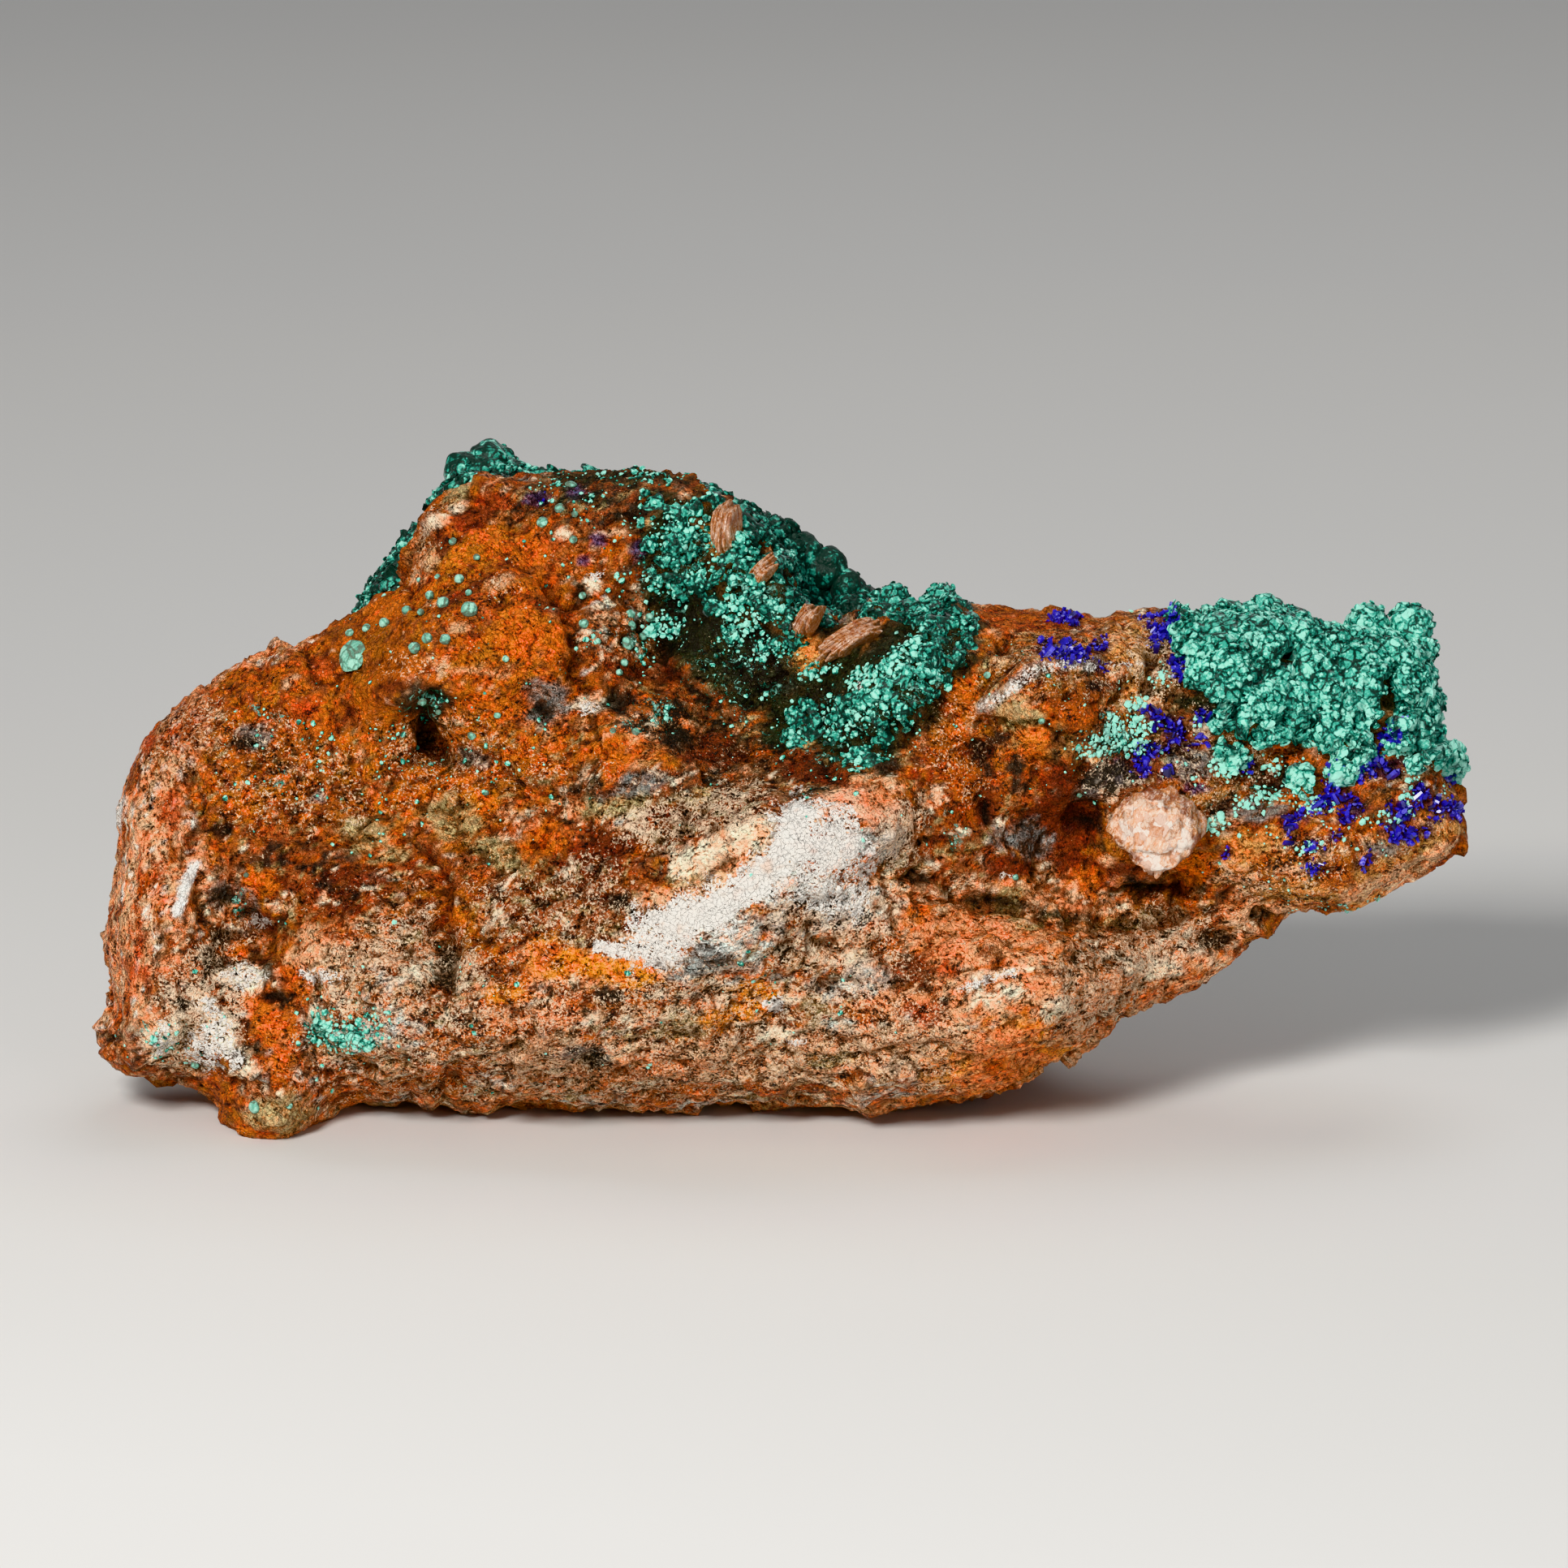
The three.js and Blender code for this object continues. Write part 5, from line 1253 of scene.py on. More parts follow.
def malachite_material(name, settings, darkness, dust=0.0, paler=()):
    """Malachite, darker or dustier by these shares and paler somewhere: tufts with painted light on their pale tops,
    and painted shade in the dark rims and gaps between them.
    """
    paint = Paint(name)
    tip, tone = paint.attribute("tip"), paint.attribute("tone")
    patches = paint.noise(2.4, 3, 0.6)
    middling = paint.noise(0.55, 3, 0.65, curl=1.0)
    fine = paint.noise(0.17, 3, 0.7)
    discs = paint.cells(1 / 0.34)
    floret, _, _, rims = paint.flats(1.25, paint.bent(0.62, 0.7), (0.02, 0.17))
    # tip paints the tops of the tufts and the crust's swells paler, as painted light; rims and the edges of the discs
    # darken the gaps between florets, as painted shade
    level = tip * 0.52 + tone * 0.22 + floret * 0.34 + (middling - 0.5) * 1.2 + (fine - 0.5) * 0.8
    level = level + (patches - 0.5) * 1.1 - rims * 0.56 - discs * 0.20 + 0.33 - darkness
    if paler:
        axis, start, full = paler
        level = level + paint.node("ShaderNodeSeparateXYZ", {0: paint.place}, axis).between(start, full) * 0.46
    if darkness > STREAKED_DARKNESS:
        level = level + (paint.noise(0.62, 2, 0.5, paint.stretched(12, (1, 1, 0.16))) - 0.5) * 2.2
    colour = paint.mix(level.between(0.10, 0.48), settings.deep, settings.middle)
    colour = paint.mix(level.between(0.46, 0.82), colour, settings.pale)
    # pale specks on the tops of the tufts: painted highlight
    colour = paint.mix((fine.between(0.60, 0.70) * tip) * 0.6, colour, (0.72, 0.93, 0.84))
    # near black where the level is lowest: painted shade deep between the tufts
    colour = paint.mix((1 - level.between(-0.1, 0.20)) * 0.9, colour, (0.004, 0.020, 0.012))
    colour = paint.mix(dust, colour, (0.27, 0.36, 0.26))
    return paint.finish({
        "Base Color": colour,
        "Roughness": 0.62 - fine * 0.22,
        "Normal": paint.bump(fine * 0.6 + middling * 0.5 - discs * 0.8, 0.7, 0.14),
        "Sheen Weight": 0.15,
        "Sheen Roughness": 0.4,
    })


def shell_over(skin, share, lift, name, depth=0.5, lumps=()):
    """A closed shell over the part of the skin with a share, lifted out by this much at each point, and lumps."""
    kept = skin.quads[(share[skin.quads] > SHELL_SHARE).any(1)]
    used, packed = np.unique(kept, return_inverse=True)
    packed = packed.reshape(kept.shape)
    count = len(used)
    top = skin.points[used] + skin.normals[used] * lift[used, None]
    under = skin.points[used] - skin.normals[used] * depth
    pairs = sides_of(packed)
    rim = pairs[~np.isin(pairs[:, 0] * count + pairs[:, 1], pairs[:, 1] * count + pairs[:, 0])]
    walls = np.stack([rim[:, 1], rim[:, 0], rim[:, 0] + count, rim[:, 1] + count], 1)
    points, faces = [top, under], [packed, packed[:, ::-1] + count, walls]
    for body, sides in lumps:
        faces.append(sides + sum(map(len, points)))
        points.append(body)
    return mesh_of(name, np.concatenate(points), np.concatenate(faces)), used


def growth_tree(name, crystal):
    """Geometry Nodes: grows lumps or crystals in two sizes over a surface, where its attribute grow is more than 0."""
    nodes = bpy.data.node_groups.new(name, "GeometryNodeTree")
    for label, kind in (
        ("Surface", "Geometry"), ("Spacing", "Float"), ("Size", "Float"), ("Small spacing", "Float"),
        ("Small size", "Float"), ("Seed", "Int"), ("Material", "Material"),
    ):
        nodes.interface.new_socket(label, in_out="INPUT", socket_type="NodeSocket" + kind)
    nodes.interface.new_socket("Grown", in_out="OUTPUT", socket_type="NodeSocketGeometry")
    tree = Tree(nodes)
    given = tree.node("NodeGroupInput")
    grow = tree.node("GeometryNodeInputNamedAttribute", {"Name": "grow"}, data_type="FLOAT")
    where = tree.node("GeometryNodeInputPosition")
    lean = 0.9 if crystal else 0.6

    def stored(geometry, label, value):
        sockets = {"Geometry": geometry, "Name": label, "Value": value}
        return tree.node("GeometryNodeStoreNamedAttribute", sockets, data_type="FLOAT", domain="POINT")

    def crystal_shape(number):
        made = tree.node("GeometryNodeMeshCone", {
            "Vertices": 6 - number % 2, "Side Segments": 1, "Radius Top": 0.34 + 0.1 * number,
            "Radius Bottom": 0.62, "Depth": 1.9,
        })
        sockets = {"Geometry": made, "Translation": (0, 0, -0.75), "Scale": (1, 0.62, 1)}
        return tree.node("GeometryNodeTransform", sockets)

    def tuft_shape(number, detail):
        ball = tree.node("GeometryNodeMeshIcoSphere", {"Radius": 1.0, "Subdivisions": detail})
        sockets = {"Vector": where, "W": 3.7 * number, "Scale": 1.9}
        lumps = tree.node("ShaderNodeTexVoronoi", sockets, voronoi_dimensions="4D")
        plates = tree.node("FunctionNodeSeparateColor", {0: lumps.also("Color")})
        push = tree.scaled(tree.node("GeometryNodeInputNormal"), 0.30 - lumps * 0.75 + plates * 0.34)
        made = tree.node("GeometryNodeSetPosition", {"Geometry": ball, "Offset": push})
        return tree.node("GeometryNodeTransform", {"Geometry": made, "Scale": (1.2, 1, 0.52)})

    def variants(detail):
        """Four shapes to pick from, with the attribute tip rising towards their tops."""
        shapes = []
        for number in range(4):
            made = crystal_shape(number) if crystal else tuft_shape(number, detail)
            # tip rises towards each shape's top; the malachite material paints the tops paler by it, as painted light
            high = tree.node("ShaderNodeSeparateXYZ", {0: where}, 2).between(-0.35, 0.95)
            shapes.append(tree.node("GeometryNodeGeometryToInstance", {0: stored(made, "tip", high)}))
        return functools.reduce(tree.join, shapes)

    def scattered(spacing, size, offset, detail):
        seed = given.also("Seed") + offset
        dots = tree.node("GeometryNodeDistributePointsOnFaces", {
            "Mesh": given.also("Surface"), "Distance Min": spacing, "Density Max": 4e7, "Density Factor": grow,
            "Seed": seed,
        }, distribute_method="POISSON")

        def chance(low, high, shift):
            return tree.node("FunctionNodeRandomValue", {2: low, 3: high, "Seed": seed + shift}, 1, data_type="FLOAT")

        share = chance(0.0, 1.0, 1)
        scale = size * (0.42 + 0.58 * (share * share)) * (0.55 + 0.45 * grow)
        sunk = tree.scaled(dots.also("Normal"), scale * 0.25)
        sunk = tree.node("GeometryNodeSetPosition", {"Geometry": dots, "Offset": sunk})
        marked = stored(sunk, "tone", chance(0.0, 1.0, 2))
        spin = tree.node("ShaderNodeCombineXYZ", {
            0: chance(-lean, lean, 3), 1: chance(-lean, lean, 4), 2: chance(0, 6.28, 5),
        })
        sockets = {0: dots.also("Rotation"), 1: spin}
        facing = tree.node("FunctionNodeRotateRotation", sockets, rotation_space="LOCAL")
        which = tree.node("FunctionNodeRandomValue", {4: 0, 5: 3, "Seed": seed + 6}, 2, data_type="INT")
        grown = tree.node("GeometryNodeInstanceOnPoints", {
            "Points": marked, "Instance": variants(detail), "Pick Instance": True, "Instance Index": which,
            "Rotation": facing, "Scale": scale,
        })
        return tree.node("GeometryNodeRealizeInstances", {0: grown})

    large = scattered(given.also("Spacing"), given.also("Size"), 0, 2)
    small = scattered(given.also("Small spacing"), given.also("Small size"), 100, 1)
    grown = tree.node("GeometryNodeSetShadeSmooth", {"Geometry": tree.join(large, small), "Shade Smooth": False})
    whole = tree.join(given.also("Surface"), grown)
    whole = tree.node("GeometryNodeSetMaterial", {"Geometry": whole, "Material": given.also("Material")})
    tree.node("NodeGroupOutput", {0: whole})
    return nodes


def grown_on(mesh, name, group, material, values):
    """An object with the growth over its surface made into plain mesh."""
    made = new_object(name, mesh, material)
    modifier = made.modifiers.new("growth", "NODES")
    modifier.node_group = group
    names = {item.name: item.identifier for item in group.interface.items_tree if item.in_out == "INPUT"}
    for label, value in {**values, "Material": material}.items():
        modifier[names[label]] = value
    whole = evaluated_mesh(made)
    made.modifiers.clear()
    made.data = whole
    bpy.data.meshes.remove(mesh)
    whole.name = name
    return made


def drop_ground(made):
    """Removes the surface that a growth stood on, and keeps what grew."""
    work = bmesh.new()
    work.from_mesh(made.data)
    ground = [face for face in work.faces if len(face.verts) == 4 and face.smooth]
    bmesh.ops.delete(work, geom=ground, context="FACES")
    work.to_mesh(made.data)
    work.free()


def malachite_sizes(settings, factor, seed):
    return {
        "Spacing": settings.tuft_spacing * factor, "Size": settings.tuft_size * factor,
        "Small spacing": settings.bead_spacing * factor, "Small size": settings.bead_size * factor,
        "Seed": settings.seed + seed,
    }


class SPECIMEN_OT_crusts(bpy.types.Operator):
    """Grows the malachite crusts over the stone"""

    bl_idname = "specimen.crusts"
    bl_label = "Malachite crusts"

    def execute(self, context):
        settings = context.scene.specimen_malachite
        skin = stone_skin()
        group = growth_tree(MALACHITE_TREE, False)
        swell = 0.5 * rough(skin.points, 3.4, 2, 63)
        for size, height, seed in ((1.5, 0.8, 61), (0.8, 0.35, 62)):
            swell += height * (1 - cells(skin.points, size, seed)[0] ** 2)
        for number, (name, crust) in enumerate(CRUSTS.items()):
            share = crust_share(skin, crust)
            lift = ease(share, 0.2, 0.9) * crust.thickness * 0.75 * (1 + swell) - 0.3 * (1 - ease(share, 0, 0.5))
            lumps = [lump_squares(*lump, 30 * number + i) for i, lump in enumerate(crust.lumps)]
            mesh, used = shell_over(skin, share, lift, name + "_ground", lumps=lumps)
            swollen = swell[used]
            clumps = ease(rough(skin.points[used], 1.9, 3, 64, 0.8), -0.45, 0.1)
            grow = np.clip(ease(share[used], 0.30, 0.7) * clumps * (0.7 + 0.5 * swollen), 0, 1)
            # tip: the crust's swells, which the material paints paler, as painted light
            tip = np.clip(0.30 * swollen - 0.08, 0, 1)
            lump_grow = 0.04 if crust.slot == "dark_malachite" else 0.45
            for label, top, lumpy in (("grow", grow, lump_grow), ("tip", tip, 0.35)):
                values = np.full(len(mesh.vertices), lumpy)
                values[: 2 * len(used)] = np.concatenate([top, np.zeros(len(used))])  # nothing on its underside
                give_numbers(mesh, label, values)
            give_numbers(mesh, "tone", np.full(len(mesh.vertices), 0.2))
            finish = malachite_material(name, settings, crust.darkness, paler=crust.paler)
            made = grown_on(mesh, name, group, finish, malachite_sizes(settings, crust.tufts, 10 * number))
            made.name = name.replace("crust_", "") + "_growth"
            finish_piece(made, crust.slot, name)
        return {"FINISHED"}


# -------- balls and loose malachite
# (across, up, radius, height as a share of the radius)
BALLS = [
    (-21.5, 11.8, 0.58, 1), (-23.4, 12.5, 0.46, 1), (-25.2, 9.3, 0.42, 1), (-24.3, 9.9, 0.38, 1),
    (-26.0, 12.2, 0.36, 1), (-29.7, 8.8, 1.15, 0.25), (-24.4, 13.1, 0.33, 1), (-25.1, 12.2, 0.26, 1),
    (-27.7, 11.3, 0.36, 1), (-28.8, 10.9, 0.32, 0.8), (-30, 10.4, 0.32, 0.8), (-23, 9.8, 0.38, 1),
    (-21.6, 13.2, 0.24, 1), (-22.3, 14.1, 0.34, 1), (-21.1, 15.6, 0.26, 0.7), (-23.8, 14.3, 0.24, 0.8),
    (-19, 8.5, 0.25, 1), (-25.4, 14.2, 0.18, 1), (-18.9, 14, 0.24, 0.7), (-22.8, 16.7, 0.3, 0.6),
    (-36.2, -22.2, 0.45, 0.7), (-33.9, -22, 0.25, 1), (17.6, 4.4, 0.26, 1), (13.8, 7.4, 0.26, 0.7),
    (-19.6, 4.8, 0.26, 0.6), (-21.3, 3.4, 0.32, 0.6), (-13.8, 10.9, 0.36, 0.8), (-10.4, 11.7, 0.36, 0.9),
    (-10.3, 10.9, 0.34, 0.9), (-9.2, 11.4, 0.32, 0.9), (-9.3, 10.4, 0.3, 0.9), (-10.6, 9.7, 0.48, 0.6),
    (-11, 8.3, 0.3, 0.8), (-11.2, 7.6, 0.26, 0.8), (-12.8, 9.8, 0.22, 0.8), (-16.6, 18, 0.42, 0.6),
    (-15.3, 19, 0.38, 0.6), (-14.7, 21, 0.42, 0.6), (-14.4, 18.5, 0.24, 0.8), (-14.6, 16.8, 0.3, 0.7),
    (-13.8, 13, 0.28, 0.7), (-11.6, 3.5, 0.24, 0.8), (-10.2, 3.5, 0.3, 0.6), (-40.6, -19.6, 0.3, 0.7),
    (-24.6, 5.4, 0.34, 0.7), (-23.8, 4.7, 0.22, 0.9), (-36.9, -6.3, 0.2, 0.8), (-20.4, -0.6, 0.2, 0.8),
    (15.8, -6.4, 0.24, 0.8), (20.3, -1, 0.2, 0.9),
]
# How thick the grains lie, and where. Where rows overlap, the thickest counts.
LOOSE_MALACHITE = [
    (1.0, [
        (23.6, 3.5, 1.7, 1.5), (24.2, 5.5, 0.7, 0.5), (25.9, 7.3, 0.8, 0.8), (21.4, 2.6, 1.4, 0.8), (28.4, 4, 0.8, 0.5),
        (30.4, 1.6, 1.2, 0.9), (33.4, -0.8, 1.6, 0.7), (42.6, 2.4, 1.0, 0.8), (35.3, 0, 1, 0.8), (36.5, -1.2, 1.1, 0.7),
        (31.3, -1.5, 1.1, 0.6), (29.7, -2.5, 0.8, 0.6), (28.7, -3.3, 0.5), (42.8, -0.8, 0.8, 0.6),
        (41.2, -2.2, 1.2, 0.5), (36, -4.4, 0.8, 0.7), (33.6, 1, 0.8, 0.5), (30.2, 0.6, 0.5), (46.2, 1.6, 0.6, 0.6),
        (-8, 10.8, 2.2, 1.2, 10), (-2.4, 11.4, 2.4, 2.0, 30), (-1, 9, 1.8, 0.9), (2, 7.8, 1.6, 0.8),
        (6, 7, 2.4, 1.2, 30), (4.6, 4.6, 3.2, 1.2, 20), (8.4, 8.6, 1.4, 2, -30), (-7, 14, 2.4, 1.4, 20),
        (5.6, 1.8, 1.8, 0.6),
    ]),
    (0.85, [(-30.4, -16.8, 2.8, 1.5, -16), (-7, 17.6, 2.2, 2)]),
    (0.66, [(-11.6, 20.8, 5, 1, -4), (-6.6, 19.6, 2.4, 1.2)]),
    (0.40, [(-14, 19.6, 5, 1.3, -6), (-41.4, -17.2, 3, 1.6)]),
    (0.55, [
        (-11, 10.4, 3, 2.2), (-25, 5.8, 0.6, 0.5), (-23.6, 4.6, 0.3), (-34.8, 0.3, 0.8, 0.9), (-36.4, 5, 0.8, 0.5),
        (11.8, -3.5, 0.8, 1.2), (-29.6, -17, 3, 1.7, -12), (-8.3, 4.9, 0.6, 1), (-24.7, 1.4, 0.9, 0.3),
        (-37.4, -8.2, 0.5, 0.8), (8, 3.4, 2, 1.4), (-34.6, -9.6, 2, 0.5, -40), (32, 0.6, 3.4, 1.8), (42, 0, 3.6, 1.6),
        (35.5, -9, 1.2, 0.4), (38, -8.5, 1.4, 0.4), (41, -8, 1, 0.4),
    ]),
    (0.15, [(-3, 8, 6, 5, 20)]),
    (0.22, [
        (3, 4, 7, 3, 10), (-17, 5.6, 3, 2), (-22, 2.8, 6, 3), (22, 1.6, 4, 3.6), (36, -3.6, 7, 3), (-30, 1.4, 8, 5),
        (-13, 15, 4, 4),
    ]),
    (0.06, [(-22, 9, 12, 7, 20), (-14, -4, 10, 5), (-26, -16, 12, 5), (16, 4, 8, 6), (-2, -14, 10, 5), (8, -1, 8, 3)]),
]


def lumpy_ball(across, up, radius, height, skin, seed):
    """A ball of radiating crystals, sunk a little in the stone: points, triangles and how near each is to its tip."""
    centre, direction = skin.place_on_face(across, up)
    work = bmesh.new()
    bmesh.ops.create_icosphere(work, subdivisions=4 if radius > 0.5 else 3, radius=1)
    points, faces = arrays_of(work)
    near, _, _ = cells(points + 9 * seed, 0.34, seed)
    size = 1 + 0.10 * rough(points + 5 * seed, 0.9, 2, seed) + 0.09 * (0.5 - near)
    tall = points @ direction
    points = (points - (1 - height) * tall[:, None] * direction) * size[:, None] * radius
    # the last part is the share towards the ball's top, which the material paints paler, as painted light
    return centre + direction * radius * height * 0.3 + points, faces, ease(tall, -0.6, 0.9) * (0.4 + 0.6 * height)


class SPECIMEN_OT_balls(bpy.types.Operator):
    """Sets the lone malachite balls on the stone"""

    bl_idname = "specimen.balls"
    bl_label = "Malachite balls"

    def execute(self, context):
        skin = stone_skin()
        points, faces, tips, tones = [], [], [], []
        for number, ball in enumerate(BALLS):
            body, sides, tip = lumpy_ball(*ball, skin, number)
            faces.append(sides + sum(map(len, points)))
            points.append(body)
            tips.append(tip)
            tones.append(np.full(len(body), (number * 0.37) % 1))
        mesh = mesh_of("malachite_balls", np.concatenate(points), np.concatenate(faces))
        give_numbers(mesh, "tip", np.concatenate(tips))
        give_numbers(mesh, "tone", np.concatenate(tones))
        finish = malachite_material("malachite_ball", context.scene.specimen_malachite, 0.26, 0.4)
        made = new_object("malachite_balls", mesh, finish)
        finish_piece(made, "malachite", *(f"malachite_ball_{i}" for i in range(1, 7)))
        return {"FINISHED"}


class SPECIMEN_OT_loose_malachite(bpy.types.Operator):
    """Sprinkles malachite grains over the stone outside the crusts"""

    bl_idname = "specimen.loose_malachite"
    bl_label = "Loose malachite"

    def execute(self, context):
        settings = context.scene.specimen_malachite
        skin = stone_skin()
        share = np.zeros(len(skin.points))
        for amount, places in LOOSE_MALACHITE:
            share = np.maximum(share, amount * skin.covered(places, ragged=0.5, soft=0.5))
        clumps = np.maximum(ease(rough(skin.points, 2.2, 3, 71), -0.15, 0.45), ease(share, 0.5, 0.8))
        behind = ease(rough(skin.points, 9, 2, 72), 0.3, 0.6) * (1 - skin.front) * ease(skin.points[:, 2], 6, 12) * 0.3
        share = np.maximum(share, behind) * clumps
        share[share < 0.01] = 0
        on_ground = np.zeros(len(share))
        mesh, used = shell_over(skin, np.where(share > 0.02, 1.0, 0.0), on_ground, "loose_malachite_ground", 0.3)
        give_numbers(mesh, "grow", share[used])
        finish = malachite_material("malachite_grains", settings, -0.12, paler=(0, 17, 22))
        group, sizes = bpy.data.node_groups[MALACHITE_TREE], malachite_sizes(settings, 0.62, 70)
        made = grown_on(mesh, "loose_malachite", group, finish, sizes)
        drop_ground(made)
        finish_piece(made, "malachite")
        return {"FINISHED"}


# -------- azurite
# (node, [spots of crystals])
AZURITE = [
    ("azurite_cluster_hump", [
        (19.3, 8.9, 1.7, 0.95), (19.4, 11.5, 1.1, 0.5), (21.6, 9.5, 0.5), (21.5, 7.9, 0.45), (18, 9.6, 0.5),
    ]),
    ("azurite_cluster_notch", [(26.2, 10.8, 1.2, 1.1), (27, 8.4, 0.6, 1.2), (25.4, 9.6, 0.5), (27.6, 11.8, 0.6)]),
    ("azurite_cluster_inner", [
        (26.7, 3.5, 0.9, 0.9), (25.2, 2.2, 1.2, 0.6), (25.2, 4.7, 0.6), (24.6, 0.8, 0.5), (28.8, 4.5, 0.6),
        (31.6, 1.2, 0.5), (27.9, 2.6, 0.6), (26, 0.9, 0.4),
    ]),
    ("azurite_cluster_ledge", [
        (38, -0.4, 1.1, 1.2), (37, -1.6, 0.8, 0.6), (41, 1, 1.4, 0.9), (41.8, 3.4, 0.8, 0.9), (39.4, 0.6, 0.7),
        (39.2, -1.6, 0.6), (40.4, 2.2, 0.5), (34.6, -2.7, 0.5), (35.5, -2.3, 0.5),
    ]),
    ("azurite_cluster_tip", [
        (42.7, -1.8, 1.1, 0.8), (42.5, -3.4, 1.3, 0.6), (44.7, -1.7, 0.7), (46.1, -1.9, 0.7), (44.3, -3.1, 0.6),
        (46, 0.6, 0.5), (43.6, -0.6, 0.6), (41.4, -3.2, 0.6),
    ]),
    ("azurite_cluster_low", [
        (36.3, -4.3, 0.9, 0.5), (37.7, -3.6, 0.6, 0.4), (36.3, -5.8, 0.5), (40, -5.2, 0.5), (30.3, -4.7, 0.6, 0.4),
        (34.8, -3.8, 0.4), (38.4, -2.4, 0.5),
    ]),
]
LOOSE_AZURITE = [(-16.6, 19.6, 0.35, 0.25), (33, 7, 0.3), (29.6, 7, 0.4), (24.4, 1, 0.5, 0.3), (28.6, 3.2, 0.4)]


def azurite_material(settings):
    paint = Paint("azurite")
    tip, tone = paint.attribute("tip"), paint.attribute("tone")
    fine = paint.noise(0.2, 3, 0.6)
    grain = paint.noise(0.45, 3, 0.7)
    colour = paint.mix((tone * 0.6 + tip * 0.4 + grain * 0.9).between(0.62, 1.25), settings.deep, settings.colour)
    # pale violet on some crystals: painted highlight
    colour = paint.mix((tone * 0.5 + fine * 0.9).between(0.90, 1.02) * 0.8, colour, (0.28, 0.25, 0.74))
    return paint.finish({
        "Base Color": colour,
        "Roughness": 0.26 + fine * 0.14,
        "Normal": paint.bump(fine, 0.4, 0.05),
        "IOR": 1.73,
        "Coat Weight": 0.3,
        "Coat Roughness": 0.16,
    })


class SPECIMEN_OT_azurite(bpy.types.Operator):
    """Grows the clusters of azurite crystals"""

    bl_idname = "specimen.azurite"
    bl_label = "Azurite clusters"

    def execute(self, context):
        settings = context.scene.specimen_azurite
        skin = stone_skin()
        finish = azurite_material(settings)
        group = growth_tree("crystals on a surface", True)
        on_end_crust = ease(crust_share(skin, CRUSTS["malachite_crust_end"]), 0.3, 0.9)
        for number, (node, places) in enumerate([*AZURITE, (None, LOOSE_AZURITE)]):
            share = skin.covered(places, ragged=0.4, soft=0.3)
            mesh, used = shell_over(skin, share, 0.75 * on_end_crust - 0.05, "azurite_ground", 0.3)
            share = share[used] * ease(rough(skin.points[used], 1.3, 3, 87, 0.8), -0.55, -0.1)
            give_numbers(mesh, "grow", ease(share, 0.2, 0.6))
            sizes = {
                "Spacing": settings.spacing * 1.35, "Size": settings.size, "Small spacing": settings.spacing,
                "Small size": settings.size * 0.6, "Seed": settings.seed + number,
            }
            name = node or "loose_azurite"
            made = grown_on(mesh, name + "_crystals", group, finish, sizes)
            drop_ground(made)
            finish_piece(made, "azurite", *([node] if node else []))
        return {"FINISHED"}


# -------- barite crystals
NODULE_SQUARE = 0.00019  # side of the squares of its mesh, in metres
NODULE_MELT = 14  # rounds of smoothing
# Corners round the nodule's middle, and the clean part of its front.
NODULE_EDGE = [(-2.1, 2.4), (0.9, 3.0), (3.4, 0.7), (2.4, -1.4), (-0.1, -3.2), (-3.6, 0.2)]
NODULE_BRIGHT = (
    (22.2, -2.9), (23.2, -2.0), (24.4, -0.9), (25.6, -1.1), (26.2, -1.6), (27.2, -1.9), (27.9, -2.8), (27.8, -4.2),
    (26.9, -5.1), (26.1, -6.3), (25, -6.3), (24.2, -5.5), (23.9, -4), (22.8, -3.6),
)
# The broken flats of its front, as the (across, up, out) way that each faces and how far out it lies.
NODULE_FLATS = [
    ((0.20, 0.10, 1.0), 1.9), ((-0.75, 0.25, 0.8), 1.9), ((0.55, -0.5, 0.9), 2.3), ((0.1, 0.8, 0.8), 2.3),
    ((-0.3, -0.8, 0.7), 2.2), ((0.9, 0.3, 0.7), 2.5),
]
# (name, node, across, up, length, width, height, turn on the face, lean)
BLADES = [
    ("blade_rib", "barite_blade_rib", 4.6, 9.9, 5.8, 1.7, 1.5, 30, 12),
    ("blade_shoulder", "barite_blade_shoulder", -4.2, 17.2, 4.4, 2.2, 1.4, 80, 8),
    ("blade_upper", "barite_blade_upper", -1.6, 14.2, 3.2, 1.2, 1.1, 48, -12),
    ("blade_lower", "barite_blade_lower", 1.2, 11.0, 2.8, 1.8, 1.2, 52, 16),
]
BLADE_PITCH = 62  # degrees that each blade is tipped up on its edge
BLADE_WEAR = 0.00004  # width of the blades' worn edges, in metres
PLATE_RIM = [(-1, -0.15), (-0.82, 0.55), (-0.2, 1), (0.5, 0.92), (0.86, 0.4), (1, -0.1), (0.8, -0.6), (0.2, -1),
             (-0.5, -0.9), (-0.86, -0.6)]
PLATE_LAYERS = [(0.84, -0.5), (1.0, -0.28), (1.0, 0.28), (0.84, 0.5)]  # (size of the rim, level in the plate)


